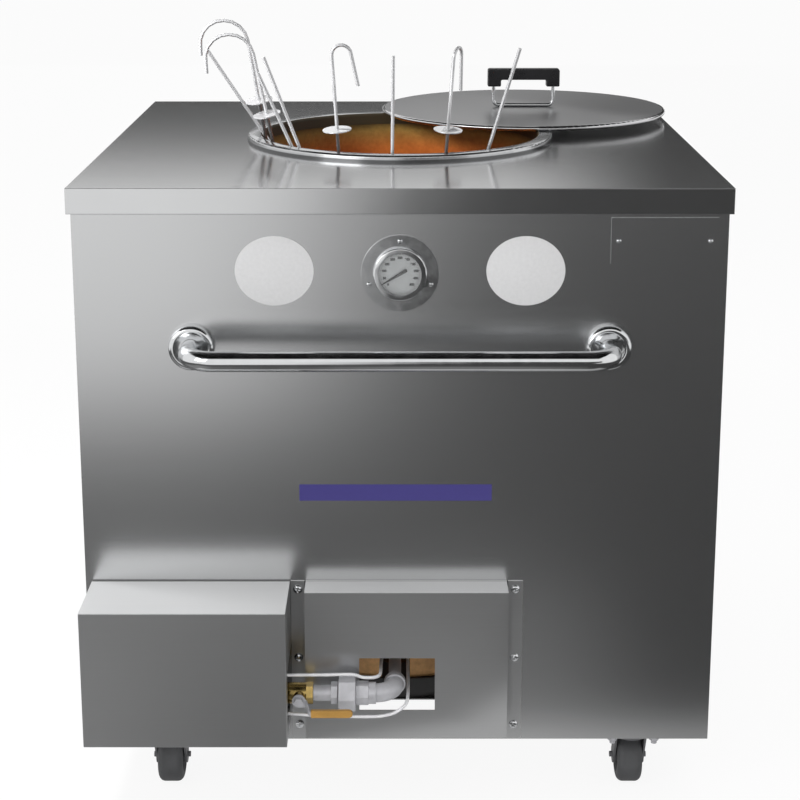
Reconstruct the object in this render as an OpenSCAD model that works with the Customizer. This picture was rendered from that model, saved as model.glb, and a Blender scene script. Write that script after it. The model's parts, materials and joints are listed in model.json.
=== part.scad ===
// Gas tandoor oven on casters: a clay pot in a square steel cabinet, fired from below.
// The origin is on the floor under the centre of the pot, +Y points to the back and +Z up.

/* [Cabinet] */
// Width of the top deck, left to right
deck_w = 864; // [850:1:900]
// Depth of the top deck, front to back
deck_d = 864; // [850:1:900]
// Height of the top of the deck above the floor
deck_top = 874; // [868:1:900]
// Height of the deck's folded apron
apron_h = 34; // [24:1:44]
// Sheet thickness of the deck's top
deck_t = 2; // [1.5:0.1:3]
// Sheet thickness of the apron, the panels and the box over the controls
sheet_t = 1.5; // [1.2:0.1:2]
// How far the deck stands out past the panels
deck_overhang = 5.5; // [4:0.5:8]
// Thickness of the base sheet
base_t = 2; // [1.5:0.1:3]
// Leg length of the corner posts and bottom rails
angle_leg = 30; // [25:1:34]
// Thickness of the corner posts and bottom rails
angle_t = 3; // [2.5:0.1:4]
// Width of the air inlet cut in the base sheet
inlet_w = 220; // [180:1:240]
// Front edge of the air inlet, from the inner face of the front panel
inlet_front = 35; // [32:1:45]
// Depth of the air inlet, front to back
inlet_d = 80; // [60:1:82]
// Half width of the burner bay behind the front panel
bay_half_w = 150; // [140:1:165]
// Underside of the burner bay's ceiling above the floor
bay_top = 250; // [245:1:280]
// Width of the opening in the front panel for the burner bay
panel_cut_w = 224; // [200:1:236]
// Lowest edge of that opening above the floor
panel_cut_bottom = 132; // [130:1:140]
// Highest edge of that opening above the floor
panel_cut_top = 320; // [290:1:325]

/* [Pot] */
// Outer radius of the pot at its foot
pot_foot_r = 300; // [285:1:305]
// Outer radius of the pot at its belly
pot_belly_r = 322; // [308:1:335]
// Inner radius of the pot at its mouth
pot_mouth_r = 209; // [195:1:214]
// Wall thickness of the pot
pot_wall = 34; // [26:1:38]
// Height of the steel ring that the pot stands on
stand_h = 30; // [25:1:32]
// Distance from the pot's lip to the top of the deck
lip_depth = 8; // [6:1:20]
// Height of the belly as a share of the pot's height
belly_share = 0.3; // [0.2:0.05:0.45]
// Width of the arch in the pot's foot that the pipe passes through
arch_w = 41; // [38:1:50]
// Middle of the arch, from the middle of the cabinet
arch_x = -6; // [-8:0.5:-4]
// Height of the mouth ring above the deck
ring_h = 10; // [7:0.5:11]
// Width of the mouth ring seen from above
ring_w = 22; // [16:1:30]
// Radius of the mouth ring's rounded edges
ring_round = 4; // [2:0.5:5]

/* [Lid] */
// Radius of the lid over its rolled rim
lid_r = 232; // [220:1:245]
// Thickness of the lid's sheet
lid_t = 1.5; // [1:0.1:2]
// Radius of the wire rolled into the rim
lid_rim_r = 3.5; // [2.5:0.1:3.9]
// Middle of the lid, to the right of the pot's middle
lid_x = 203; // [195:1:215]
// Middle of the lid, behind the pot's middle
lid_y = 232; // [225:1:245]
// Radius of the stiffening pan under the lid
lid_pan_r = 72; // [50:1:74]
// Radius of the bail's wire
bail_r = 3; // [2:0.1:4]
// Distance between the bail's two legs
bail_w = 98; // [90:1:104]
// Radius of the bail's bends, at the middle of the wire
bail_bend_r = 9; // [7:1:15]
// Length of the grip
grip_l = 118; // [110:1:130]
// Depth of the grip, front to back
grip_d = 20; // [14:1:26]
// Height of the grip's two ends
grip_end_h = 29; // [24:1:34]
// Height of the grip's bar
grip_bar_h = 18; // [14:1:22]
// Length of each of the grip's ends
grip_end_l = 22; // [18:1:26]
// Height of the grip's lower edge above the lid
grip_lift = 34; // [26:1:45]

/* [Towel bar] */
// Distance between the two ends of the bar
bar_w = 548; // [480:1:560]
// Height of the bar above the floor
bar_z = 662; // [640:1:670]
// Outer radius of the bar's tube
bar_r = 13.2; // [10:0.1:16]
// Distance from the panel to the bar's axis
bar_reach = 73; // [65:1:85]
// Bend radius at the bar's axis
bar_bend_r = 36; // [30:1:42]
// Outer radius of each rosette
rosette_r = 30; // [24:1:34]
// Height of each rosette
rosette_h = 14; // [10:0.5:18]
// Radius of the rosette's rounded rim
rosette_round = 6; // [4:0.5:7]

/* [Thermometer] */
// Height of the thermometer above the floor
gauge_z = 761; // [755:1:775]
// Outer radius of its flange
gauge_flange_r = 51; // [48:0.5:54]
// Thickness of its flange
gauge_flange_t = 2; // [1.5:0.1:3]
// Outer radius of its bezel
gauge_bezel_r = 35; // [33:0.5:35.5]
// Radius of the dial
gauge_dial_r = 29.7; // [29:0.1:30.5]
// How far the bezel stands out of the panel
gauge_bezel_h = 11; // [10:0.5:13]
// Depth of the case behind the panel
gauge_can_h = 38; // [30:1:45]
// Wall thickness of the case
gauge_wall = 2; // [1.5:0.1:2.3]
// Radius of the probe
probe_r = 3; // [2:0.1:4]
// Length of the probe behind the case
probe_l = 170; // [150:1:180]
// Length of the needle's pointer
needle_l = 27.5; // [22:0.5:28]
// Length of the needle's tail
needle_tail_l = 12; // [8:0.5:14]
// Angle of the needle at rest, above the right-hand direction
needle_angle = 211; // [205:1:225]

/* [Small plates and screws] */
// Left edge of the blank plate
plate_x = 274; // [265:1:290]
// Width of the blank plate
plate_w = 139; // [125:1:145]
// Lower edge of the blank plate above the floor
plate_z = 773; // [765:1:776]
// Height of the blank plate
plate_h = 62; // [50:1:64]
// Thickness of the blank plate
plate_t = 1.5; // [1:0.1:2]
// Distance of the plate's screws from its side edges
plate_screw_in = 10; // [7:0.5:16]
// Radius of a screw's shank
shank_r = 2; // [1.5:0.1:2.4]
// Length of a screw's shank behind its head
shank_l = 9; // [8:0.5:12]
// Radius of the cover screws' heads
cover_head_r = 6; // [4:0.1:6.5]
// Radius of the thermometer screws' and plate screws' heads
small_head_r = 3.4; // [3:0.1:4]
// Radius of the circle of the thermometer's screws
gauge_screw_circle_r = 43; // [42:0.5:45]

/* [Burner cover] */
// Left side of the raised face
cover_left = -128; // [-130:1:-124]
// Right side of the raised face
cover_right = 145; // [135:1:155]
// Top of the cover above the floor
cover_top = 333; // [328:1:345]
// Lower edge of the raised face above the floor
cover_bottom = 122; // [115:1:130]
// How far the face stands out of the panel
cover_reach = 43; // [36:1:46]
// Width of each side flange
flange_w = 20.5; // [18:0.5:20.5]
// Left edge of the window
window_left = -55; // [-60:1:-45]
// Right edge of the window
window_right = 47; // [40:1:60]
// Lower edge of the window above the floor
window_bottom = 163; // [158:1:170]
// Upper edge of the window above the floor
window_top = 239; // [230:1:250]
// Height of the lowest screws above the floor
cover_screw_z = 121; // [115:1:126]
// Distance between screws up each flange
cover_screw_step = 100; // [95:1:102]

/* [Control box] */
// Left side of the box
box_left = -418; // [-422:1:-410]
// Right side of the box
box_right = -149; // [-150:0.5:-148.5]
// Bottom of the box above the floor
box_bottom = 144; // [136:1:150]
// Top of the box above the floor
box_top = 333; // [310:1:350]
// How far the box stands out of the panel
box_reach = 111; // [100:1:120]

/* [Gas train] */
// Height of the gas line above the floor
gas_z = 201; // [199:0.5:203]
// Distance from the panel to the gas line
gas_reach = 68; // [66:0.5:70]
// Outer radius of the nipples
nipple_r = 10.65; // [9:0.05:11]
// Outer radius of the pipe from the elbow to the burner
burner_pipe_r = 8.55; // [7:0.05:9]
// Middle of the pipe to the burner, from the middle of the cabinet
pipe_x = -7; // [-8:0.5:-5]
// Width across the flats of the union nut
union_nut_af = 42.5; // [38:0.5:44]
// Length of the union nut
union_nut_l = 23; // [18:0.5:24]
// Width across the flats of the union's end
union_end_af = 28; // [24:0.5:32]
// Length of the union end's hexagon
union_end_l = 17; // [12:0.5:18]
// Length of the nipple between valve and union
nipple_l = 34; // [30:0.5:36]
// Bend radius of the elbow
elbow_bend_r = 25; // [20:0.5:26]
// Outer radius of the elbow
elbow_r = 12.5; // [11:0.1:14]
// Outer radius of the elbow's collars
collar_r = 14.5; // [13.5:0.1:17]
// Length of each collar
collar_l = 10; // [6:0.5:11]
// Length of the valve
valve_l = 45; // [40:0.5:46]
// Outer radius of the valve
valve_r = 14; // [13:0.5:16]
// Radius of the valve's plug
plug_r = 8; // [7.5:0.1:8.5]
// Radius of the valve's passage
passage_r = 6; // [4:0.1:6.8]
// Radius of the valve's stem
stem_r = 4; // [3:0.1:5]
// Distance from the line to the lever's inner face
lever_root_reach = 23; // [21:0.5:26]
// Distance from the line to the lever's handle
lever_reach = 46; // [40:0.5:52]
// Thickness of the lever
lever_t = 2.5; // [2:0.1:3]
// Width of the lever's handle
lever_w = 6.5; // [5:0.5:9]
// Distance that the handle lies below the stem
lever_drop = 7; // [0:0.5:7.5]
// Length of the lever from the stem to its end
lever_l = 70; // [62:1:80]
// Thickness of the sleeve over the lever
sleeve_t = 1.8; // [1.2:0.1:2.6]
// Length of the sleeve
sleeve_l = 54; // [42:1:56]
// Outer radius of the pilot tube and the thermocouple lead
tube_r = 2.3; // [1.5:0.1:2.4]
// Outer radius of the inlet pipe
inlet_r = 13.35; // [12:0.05:14]
// Length of the inlet pipe's turned-down end
inlet_end_l = 22; // [16:1:30]
// Middle of the inlet pipe, to the left of the middle of the cabinet
inlet_x = -370; // [-374:1:-366]
// How far the inlet pipe stands out at the back
inlet_out = 45; // [35:1:60]
// Length of the safety valve's block
safety_l = 72; // [60:1:74]
// Height of the safety valve's block
safety_h = 50; // [44:1:56]
// Radius of the reset button
button_r = 6; // [5:0.1:7]
// How far the reset button stands out of its block
button_out = 18; // [14:1:24]
// Radius of the regulator's diaphragm housing
regulator_r = 36; // [30:1:37]

/* [Burner] */
// Outer radius of the ring burner
burner_r = 110; // [95:1:120]
// Inner radius of the ring burner
burner_inner_r = 60; // [50:1:68]
// Height of the ring burner
burner_h = 34; // [30:1:38]
// Wall thickness of the burner's casting
burner_wall = 5; // [4:0.5:6]
// Number of flame ports
port_count = 24; // [12:2:32]
// Radius of each flame port
port_r = 2.5; // [1.5:0.1:3.5]
// Outer radius of the mixer tube
mixer_r = 15; // [13:0.5:15.5]
// Radius of the mixer's bell
bell_r = 20; // [18:0.5:21]
// Distance from the pot's middle to the bell's mouth
bell_y = 215; // [205:1:225]
// Radius of the heat shield
shield_r = 195; // [190:1:205]
// Thickness of the heat shield
shield_t = 4; // [3:0.5:6]
// Top of the heat shield above the floor
shield_top = 300; // [290:1:310]
// Radius of the circle of the heat shield's legs
shield_leg_circle_r = 150; // [135:1:165]

/* [Casters] */
// Height of a caster from the floor to the base sheet
caster_h = 98; // [96:0.5:104]
// Distance between the left and right casters
caster_w = 652; // [560:1:680]
// Distance of the front swivels from the deck's front edge
caster_front = 52; // [50:1:70]
// Distance of the rear swivels from the deck's rear edge
caster_rear = 62; // [60:1:80]
// Side of the square top plate
caster_plate_w = 72; // [66:1:76]
// Thickness of the top plate
caster_plate_t = 3; // [2:0.5:4]
// How far the plate's bolts reach below it
bolt_reach = 12; // [8:0.5:14]
// Wheel diameter
wheel_d = 75; // [70:0.5:76]
// Wheel width at the hub
wheel_w = 37; // [28:0.5:39]
// How far the wheel's hub stands out of the tread on each side
hub_stand = 1; // [0.5:0.1:3]
// Radius of the tread's rounded edges
tread_round = 9; // [5:0.5:11]
// How far the wheel trails behind the swivel
caster_trail = 24; // [18:0.5:28]
// Radius of the wheel's axle
axle_r = 4; // [3:0.1:5]
// Radius of the swivel's king pin
king_r = 6; // [5:0.1:7]
// Thickness of the fork's legs
fork_t = 3; // [2:0.1:4]

/* [Skewers and hooks] */
// Radius of the rods
rod_r = 2.5; // [2:0.1:3]
// Radius of the hooks' drip discs
disc_r = 20.5; // [14:0.5:20.5]
// Thickness of the drip discs
disc_t = 1.5; // [1:0.1:2]

/* [Hidden] */
$fn = 64;

// Clearance round a running pin or shaft
run_gap = 0.05;
// Clearance round a screw's shank or a pipe in a hole
hole_gap = 0.3;
// Clearance between curved neighbours, and of what only rests on its seat
seat_gap = 0.3;
// Extra length of a cutting tool past the face that it cuts
cut = 1;

// Panels: outer faces, inner faces and heights
body_x = deck_w / 2 - deck_overhang;
body_y = deck_d / 2 - deck_overhang;
inner_x = body_x - sheet_t;
inner_y = body_y - sheet_t;
body_bottom = caster_h;
base_top = body_bottom + base_t;
deck_under = deck_top - deck_t;
lip_gap = 0.5;

// Pot
pot_bottom = base_top + stand_h;
pot_top = deck_top - lip_depth;
pot_h = pot_top - pot_bottom;
pot_steps = 14;
pot_joint_steps = [4, 9];
pot_neck_r = pot_mouth_r + pot_wall;
stand_r = pot_foot_r + 6;
stand_w = 48;
stand_inner_r = pot_foot_r - stand_w;
stand_t = 4;
arch_r = arch_w / 2;
function pot_outer(t, grow = 0) =
    grow + pot_belly_r - (t < belly_share
        ? (pot_belly_r - pot_foot_r) * pow((belly_share - t) / belly_share, 2)
        : (pot_belly_r - pot_neck_r) * pow((t - belly_share) / (1 - belly_share), 2));
function pot_curve(grow = 0, wall = 0, from = 0, to = pot_steps) =
    [for (i = [from : to]) [pot_outer(i / pot_steps, grow) - wall, pot_bottom + pot_h * i / pot_steps]];
function turned(points) = [for (i = [len(points) - 1 : -1 : 0]) points[i]];

// Gas line
gas_y = -body_y - gas_reach;
elbow_x0 = pipe_x - elbow_bend_r;
elbow_y1 = gas_y + elbow_bend_r;
elbow_left = elbow_x0 - collar_l;
elbow_back = elbow_y1 + collar_l;
union_end_left = elbow_left - union_end_l;
union_left = union_end_left - union_nut_l;
valve_right = union_left - nipple_l;
valve_left = valve_right - valve_l;
stem_x = valve_right - 18;
joint_in = 11;
box_front = -body_y - box_reach;
box_notch_y = gas_y - 18;
box_notch_bottom = gas_z - 38;
box_notch_top = gas_z + 38;
safety_right = valve_left - 26;
safety_left = safety_right - safety_l;
safety_d = 54;
safety_x = (safety_left + safety_right) / 2;
regulator_x = (safety_left + inlet_x) / 2 - 2;
regulator_left = regulator_x - 34;
regulator_right = regulator_x + 34;
button_reach = 14;

// Burner
burner_bottom = gas_z - burner_h / 2;
shield_leg_r = 5;
pilot_y = -140;
bracket_z = gas_z + mixer_r;
bracket_t = 3;

// Casters
front_y = -deck_d / 2 + caster_front;
rear_y = deck_d / 2 - caster_rear;
wheel_r = wheel_d / 2;
plate_bottom = caster_h - caster_plate_t;
head_h = 8;
boss_h = 4;
fork_top = plate_bottom - boss_h - seat_gap;
fork_under = fork_top - head_h;
fork_inner = wheel_w / 2 + 0.5;
tread_w = wheel_w - 2 * hub_stand;

// Lid: its rim rests on the mouth ring and its pan on the deck
lid_bottom = deck_top + ring_h + seat_gap + 2 * lid_rim_r - lid_t;
lid_top = lid_bottom + lid_t;
lid_pan_h = lid_bottom - deck_top - seat_gap;
grip_bottom = lid_top + grip_lift;

// Rods: angle round the mouth from the front, lean to the side, lean to the front, height above the ring
ring_top = deck_top + ring_h;
rod_circle_r = pot_mouth_r - rod_r - seat_gap;
rod_tip = shield_top + seat_gap;
skewers = [[-83, -0.62, 0.20, 128], [-50, -0.43, 0.12, 106], [-45, -0.37, 0.10, 130], [-3, 0.01, 0.08, 138],
    [38, 0.28, 0.22, 146]];
// Hooks: the same four values, then bend radius, length of the tip, turn of the hook and height of its disc
hooks = [[-78, -0.15, 0.17, 145, 35, 12, 180, 54], [-66, -0.19, 0.14, 129, 35, 16, 180, 38],
    [-25, -0.06, 0.10, 137, 13.5, 46, 0, 30], [18.5, 0.07, 0.10, 133, 13.5, 51, 65, 31]];
function rod_foot(rod) = [rod_circle_r * sin(rod[0]), -rod_circle_r * cos(rod[0]), ring_top];
function rod_dir(rod) = [rod[1], -rod[2], 1];
function rod_at(rod, h) = rod_foot(rod) + rod_dir(rod) * h;
function unit(v) = v / norm(v);

// A ring of points round each point of a route, joined into one closed tube
function route_dir(path, i) =
    unit(path[min(i + 1, len(path) - 1)] - path[max(i - 1, 0)]);
function side_of(d) = unit(cross(d, abs(d[1]) < 0.8 ? [0, 1, 0] : [0, 0, 1]));
function carried(d, side) = unit(side - d * (side * d));
function sides_along(path, i = 0, side = undef) = i >= len(path) ? []
    : let (s = i == 0 ? side_of(route_dir(path, 0)) : carried(route_dir(path, i), side))
        concat([s], sides_along(path, i + 1, s));
module tube(path, r, sides = 8) {
    along = sides_along(path);
    points = [for (i = [0 : len(path) - 1]) let (s = along[i], u = cross(route_dir(path, i), s))
        for (k = [0 : sides - 1]) path[i] + r * (s * cos(360 * k / sides) + u * sin(360 * k / sides))];
    last = (len(path) - 1) * sides;
    skin = [for (i = [0 : len(path) - 2]) for (k = [0 : sides - 1])
        [i * sides + k, i * sides + (k + 1) % sides, (i + 1) * sides + (k + 1) % sides, (i + 1) * sides + k]];
    halves = [for (f = skin) each [[f[0], f[3], f[1]], [f[1], f[3], f[2]]]];
    start = [for (k = [1 : sides - 2]) [0, k, k + 1]];
    end = [for (k = [1 : sides - 2]) [last, last + k + 1, last + k]];
    polyhedron(points = points, faces = concat(halves, start, end));
}
// A route with each inner corner rounded into a few points
function rounded(path, cut_back = 0.35, steps = 3) = concat([path[0]],
    [for (i = [1 : len(path) - 2]) let (a = path[i] + (path[i - 1] - path[i]) * cut_back,
        b = path[i] + (path[i + 1] - path[i]) * cut_back)
        for (k = [0 : steps]) let (t = k / steps)
            a * pow(1 - t, 2) + path[i] * 2 * t * (1 - t) + b * pow(t, 2)],
    [path[len(path) - 1]]);

// Routes of the two thin tubes, from the box over the controls to the pilot
pilot_route = [[safety_right + seat_gap, gas_y - 4, 228], [-95, gas_y - 2, 228], [-62, gas_y, 228],
    [-50, gas_y + 2, 222], [-34, gas_y + 4, 221], [-26, gas_y + 14, 220], [-26, -430, 217], [-19, -330, 212],
    [-19, -262, 212], [-33, -222, 212], [-33, -190, 210], [-28, -158, 205], [-28, pilot_y, 206],
    [-28, pilot_y, bracket_z - seat_gap]];
lead_route = [[safety_right + seat_gap, gas_y - 4, 176], [-110, gas_y - 10, 173], [-62, gas_y - 13, 173],
    [-28, gas_y - 13, 173], [-8, gas_y - 12, 177], [7, gas_y - 8, 186], [11, gas_y + 6, 191],
    [11, -375, 195], [8, -262, 208], [21, -222, 208], [21, -190, 208], [13, -158, 205], [13, pilot_y, 206],
    [13, pilot_y, bracket_z - seat_gap]];

// Screws: place on the panel, head radius and how far its seat stands out of the panel
cover_screw_x = [cover_left - flange_w / 2 - 0.5, cover_right + flange_w / 2 + 1.5];
cover_screws = [for (x = cover_screw_x) for (i = [0 : 2])
    [x, cover_screw_z + i * cover_screw_step, cover_head_r, sheet_t]];
plate_screws = [for (x = [plate_x + plate_screw_in, plate_x + plate_w - plate_screw_in])
    [x, plate_z + plate_h / 2, small_head_r, plate_t]];
gauge_screw_angles = [90, 200, 340];
gauge_screws = [for (a = gauge_screw_angles)
    [gauge_screw_circle_r * cos(a), gauge_z + gauge_screw_circle_r * sin(a), small_head_r, gauge_flange_t]];
screws = concat(cover_screws, plate_screws, gauge_screws);

// A hole of radius r from the front to the back, through the front panel's plane
module front_hole(x, z, r, from, length) {
    translate([x, from, z]) rotate([-90, 0, 0]) cylinder(r = r, h = length);
}
module screw_holes(list) {
    for (s = list) front_hole(s[0], s[1], shank_r + hole_gap, -body_y - 12, 30);
}
// A cylinder along X
module along_x(x0, x1, r, sides = 64) {
    translate([x0, gas_y, gas_z]) rotate([0, 90, 0]) cylinder(r = r, h = x1 - x0, $fn = sides);
}
// A hexagon along X, with flats above and below
module hex_x(x0, x1, af) {
    translate([x0, gas_y, gas_z]) rotate([90, 0, 90]) cylinder(r = af / sqrt(3), h = x1 - x0, $fn = 6);
}
module four_corners(x, y) {
    for (sx = [-1, 1]) for (sy = [-1, 1]) translate([sx * x, sy * y, 0]) children();
}

// Square top with a folded apron, a return lip below and the mouth cut out
module top_deck() color([0.72, 0.73, 0.74]) difference() {
    translate([-deck_w / 2, -deck_d / 2, deck_top - apron_h]) cube([deck_w, deck_d, apron_h]);
    translate([-deck_w / 2 + sheet_t, -deck_d / 2 + sheet_t, deck_top - apron_h + sheet_t])
        cube([deck_w - 2 * sheet_t, deck_d - 2 * sheet_t, apron_h - sheet_t - deck_t]);
    translate([-body_x - lip_gap, -body_y - lip_gap, deck_top - apron_h - cut])
        cube([2 * (body_x + lip_gap), 2 * (body_y + lip_gap), sheet_t + 2 * cut]);
    translate([0, 0, deck_under - cut]) cylinder(r = pot_mouth_r + sheet_t + seat_gap, h = deck_t + 2 * cut);
}

// Rounded ring on the deck with a sleeve down to the pot's lip
module mouth_ring() color([0.8, 0.81, 0.82]) rotate_extrude() {
    translate([pot_mouth_r, pot_top + seat_gap]) square([sheet_t, deck_top - pot_top + ring_h - ring_round]);
    translate([pot_mouth_r, deck_top]) square([ring_w, ring_h - ring_round]);
    translate([pot_mouth_r + ring_round, deck_top]) square([ring_w - 2 * ring_round, ring_h]);
    for (x = [ring_round, ring_w - ring_round])
        translate([pot_mouth_r + x, deck_top + ring_h - ring_round]) circle(r = ring_round);
}

module front_panel() color([0.6, 0.61, 0.62]) difference() {
    translate([-body_x, -body_y, body_bottom]) cube([2 * body_x, sheet_t, deck_under - body_bottom]);
    translate([-panel_cut_w / 2, -body_y - cut, panel_cut_bottom])
        cube([panel_cut_w, sheet_t + 2 * cut, panel_cut_top - panel_cut_bottom]);
    front_hole(0, gauge_z, gauge_dial_r + gauge_wall + seat_gap, -body_y - cut, sheet_t + 2 * cut);
    front_hole(inlet_x, gas_z, inlet_r + hole_gap, -body_y - cut, sheet_t + 2 * cut);
    screw_holes(screws);
}

// Left side, back and right side, folded from one sheet
module body_wrap() color([0.6, 0.61, 0.62]) difference() {
    translate([-body_x, -inner_y, body_bottom])
        cube([2 * body_x, inner_y + body_y, deck_under - body_bottom]);
    translate([-inner_x, -inner_y - cut, body_bottom - cut])
        cube([2 * inner_x, 2 * inner_y + cut, deck_under - body_bottom + 2 * cut]);
    front_hole(inlet_x, gas_z, inlet_r + hole_gap, inner_y - cut, sheet_t + 2 * cut);
}

module base_pan() color([0.45, 0.46, 0.47]) difference() {
    translate([-inner_x, -inner_y, body_bottom]) cube([2 * inner_x, 2 * inner_y, base_t]);
    translate([-inlet_w / 2, -inner_y + inlet_front, body_bottom - cut])
        cube([inlet_w, inlet_d, base_t + 2 * cut]);
}

// Four posts in the corners and four rails between their feet
module rail(length) {
    translate([-length / 2, 0, 0]) cube([length, angle_leg, angle_t]);
    translate([-length / 2, 0, 0]) cube([length, angle_t, angle_leg]);
}
module frame_angles() color([0.3, 0.31, 0.32]) difference() {
    angles();
    screw_holes(screws);
}
module angles() {
    for (sx = [0, 1]) for (sy = [0, 1]) mirror([sx, 0, 0]) mirror([0, sy, 0])
        translate([-inner_x, -inner_y, base_top]) difference() {
            cube([angle_leg, angle_leg, deck_under - base_top]);
            translate([angle_t, angle_t, -cut]) cube([angle_leg, angle_leg, deck_under - base_top + 2 * cut]);
        }
    for (a = [0, 180]) rotate([0, 0, a])
        translate([0, -inner_y, base_top]) rail(2 * (inner_x - angle_leg - seat_gap));
    for (a = [90, 270]) rotate([0, 0, a])
        translate([0, -inner_x, base_top]) rail(2 * (inner_y - angle_leg - seat_gap));
}

// The pot's outer shape as a solid, grown by a clearance
module pot_space(grow) {
    rotate_extrude() polygon(concat([[0, pot_bottom]], pot_curve(grow), [[0, pot_top]]));
    translate([0, 0, base_top - cut]) cylinder(r = stand_r + grow, h = stand_h + cut);
}

// Sheet ceiling and side walls of the burner bay, cut to the pot
module bay_liner() color([0.35, 0.35, 0.36]) difference() {
    translate([-bay_half_w, -inner_y + angle_t, base_top + angle_t])
        cube([2 * bay_half_w, inner_y - stand_inner_r, bay_top + sheet_t - base_top - angle_t]);
    translate([-bay_half_w + sheet_t, -inner_y, base_top - cut])
        cube([2 * (bay_half_w - sheet_t), inner_y, bay_top - base_top + cut]);
    pot_space(seat_gap);
}

// The pot is thrown in three courses, each set on the one below
module pot_course(from, to) {
    rotate_extrude($fn = 96)
        polygon(concat(pot_curve(0, 0, from, to), turned(pot_curve(0, pot_wall, from, to))));
}
module clay_pot_foot() color([0.72, 0.42, 0.24]) difference() {
    pot_course(0, pot_joint_steps[0]);
    translate([arch_x, 0, 0]) {
        translate([-arch_r, -pot_belly_r - cut, pot_bottom - cut])
            cube([arch_w, pot_belly_r / 2, gas_z - pot_bottom + cut]);
        front_hole(0, gas_z, arch_r, -pot_belly_r - cut, pot_belly_r / 2);
    }
}
module clay_pot_belly() color([0.72, 0.42, 0.24]) pot_course(pot_joint_steps[0], pot_joint_steps[1]);
module clay_pot_neck() color([0.72, 0.42, 0.24]) difference() {
    pot_course(pot_joint_steps[1], pot_steps);
    front_hole(0, gauge_z, probe_r + cut, -pot_belly_r, pot_belly_r / 2);
}

// Loose insulation between the pot and the cabinet, leaving the burner bay free
module insulation_fill() color([0.85, 0.82, 0.7]) difference() {
    union() {
        translate([-inner_x + angle_leg, -inner_y + angle_leg, base_top])
            cube([2 * (inner_x - angle_leg), 2 * (inner_y - angle_leg), pot_top - base_top]);
        translate([-inner_x + angle_leg, -inner_y + shank_l, base_top + angle_leg])
            cube([2 * (inner_x - angle_leg), 2 * inner_y - shank_l, pot_top - base_top - angle_leg]);
        translate([-inner_x, -inner_y + angle_leg, base_top + angle_leg])
            cube([2 * inner_x, 2 * (inner_y - angle_leg), pot_top - base_top - angle_leg]);
    }
    pot_space(seat_gap);
    translate([0, 0, pot_bottom - cut]) cylinder(r = pot_mouth_r, h = pot_h + 2 * cut);
    translate([-bay_half_w, -inner_y - cut, base_top - cut])
        cube([2 * bay_half_w, inner_y + cut, bay_top + sheet_t - base_top + cut]);
    front_hole(inlet_x, gas_z, inlet_r + hole_gap, -body_y, 2 * body_y);
    front_hole(0, gauge_z, gauge_dial_r + gauge_wall + hole_gap, -body_y, gauge_can_h + cut);
    front_hole(0, gauge_z, probe_r + hole_gap, -body_y, body_y);
}

// Steel channel bent to a ring, open below
module pot_stand() color([0.25, 0.25, 0.26]) rotate_extrude() {
    translate([stand_inner_r, base_top + stand_h - stand_t]) square([stand_r - stand_inner_r, stand_t]);
    for (r = [stand_inner_r, stand_r - stand_t])
        translate([r, base_top]) square([stand_t, stand_h - stand_t / 2]);
}

// Hollow ring with flame ports on top, four feet and the mixer tube with its bell
module burner_ring() color([0.2, 0.2, 0.21]) difference() {
    union() {
        rotate_extrude() translate([burner_inner_r, burner_bottom])
            square([burner_r - burner_inner_r, burner_h]);
        four_corners(burner_foot, burner_foot) translate([0, 0, base_top])
            cylinder(r = 7, h = burner_bottom - base_top + burner_wall / 2);
        front_hole(pipe_x, gas_z, mixer_r, -bell_y, bell_y - burner_r + burner_wall);
        front_hole(pipe_x, gas_z, bell_r, -bell_y, bell_l);
    }
    rotate_extrude() translate([burner_inner_r + burner_wall, burner_bottom + burner_wall])
        square([burner_r - burner_inner_r - 2 * burner_wall, burner_h - 2 * burner_wall]);
    for (i = [0 : port_count - 1]) rotate([0, 0, (i + 0.5) * 360 / port_count])
        translate([(burner_r + burner_inner_r) / 2, 0, gas_z]) cylinder(r = port_r, h = burner_h);
    front_hole(pipe_x, gas_z, mixer_r - burner_wall / 2, -bell_y + burner_wall / 2,
        bell_y - burner_r + burner_wall);
    front_hole(pipe_x, gas_z, burner_pipe_r + seat_gap, -bell_y - cut, burner_wall);
    for (a = [0 : 90 : 270]) translate([pipe_x, 0, gas_z]) rotate([0, a + 45, 0])
        translate([(burner_pipe_r + bell_r) / 2 + 0.5, -bell_y - cut, 0]) rotate([-90, 0, 0])
            cylinder(r = 2.5, h = bell_l / 3);
}
burner_foot = (burner_r + burner_inner_r) / 2 / sqrt(2);
bell_l = 24;

// Pipe through the arch with a gas orifice at its end
module burner_pipe() color([0.6, 0.61, 0.62]) difference() {
    union() {
        front_hole(pipe_x, gas_z, burner_pipe_r, elbow_back, -bell_y + 6 - elbow_back);
        front_hole(pipe_x, gas_z, burner_pipe_r * 0.7, -bell_y + 5, 8);
    }
    front_hole(pipe_x, gas_z, burner_pipe_r - 2.3, elbow_back - cut, -bell_y - elbow_back);
    front_hole(pipe_x, gas_z, 1.5, -bell_y - cut * 3, 30);
}

module heat_shield() color([0.3, 0.28, 0.27]) {
    translate([0, 0, shield_top - shield_t]) cylinder(r = shield_r, h = shield_t, $fn = 96);
    four_corners(shield_leg_circle_r / sqrt(2), shield_leg_circle_r / sqrt(2)) translate([0, 0, base_top])
        cylinder(r = shield_leg_r, h = shield_top - base_top - shield_t / 2);
}

// Bracket on the mixer tube with the pilot's head and the thermocouple's tip
module pilot_burner() color([0.7, 0.66, 0.55]) {
    translate([pilot_x - 10, pilot_y - 10, bracket_z]) cube([lead_x - pilot_x + 20, 20, bracket_t]);
    translate([pilot_x, pilot_y, bracket_z + bracket_t]) cylinder(r = 6, h = 14);
    translate([pilot_x - 7, pilot_y - 7, bracket_z + bracket_t + 14]) cube([14, 20, 2]);
    translate([lead_x, pilot_y, bracket_z + bracket_t]) cylinder(r = tube_r, h = 30);
}
pilot_x = -28;
lead_x = 13;

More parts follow.
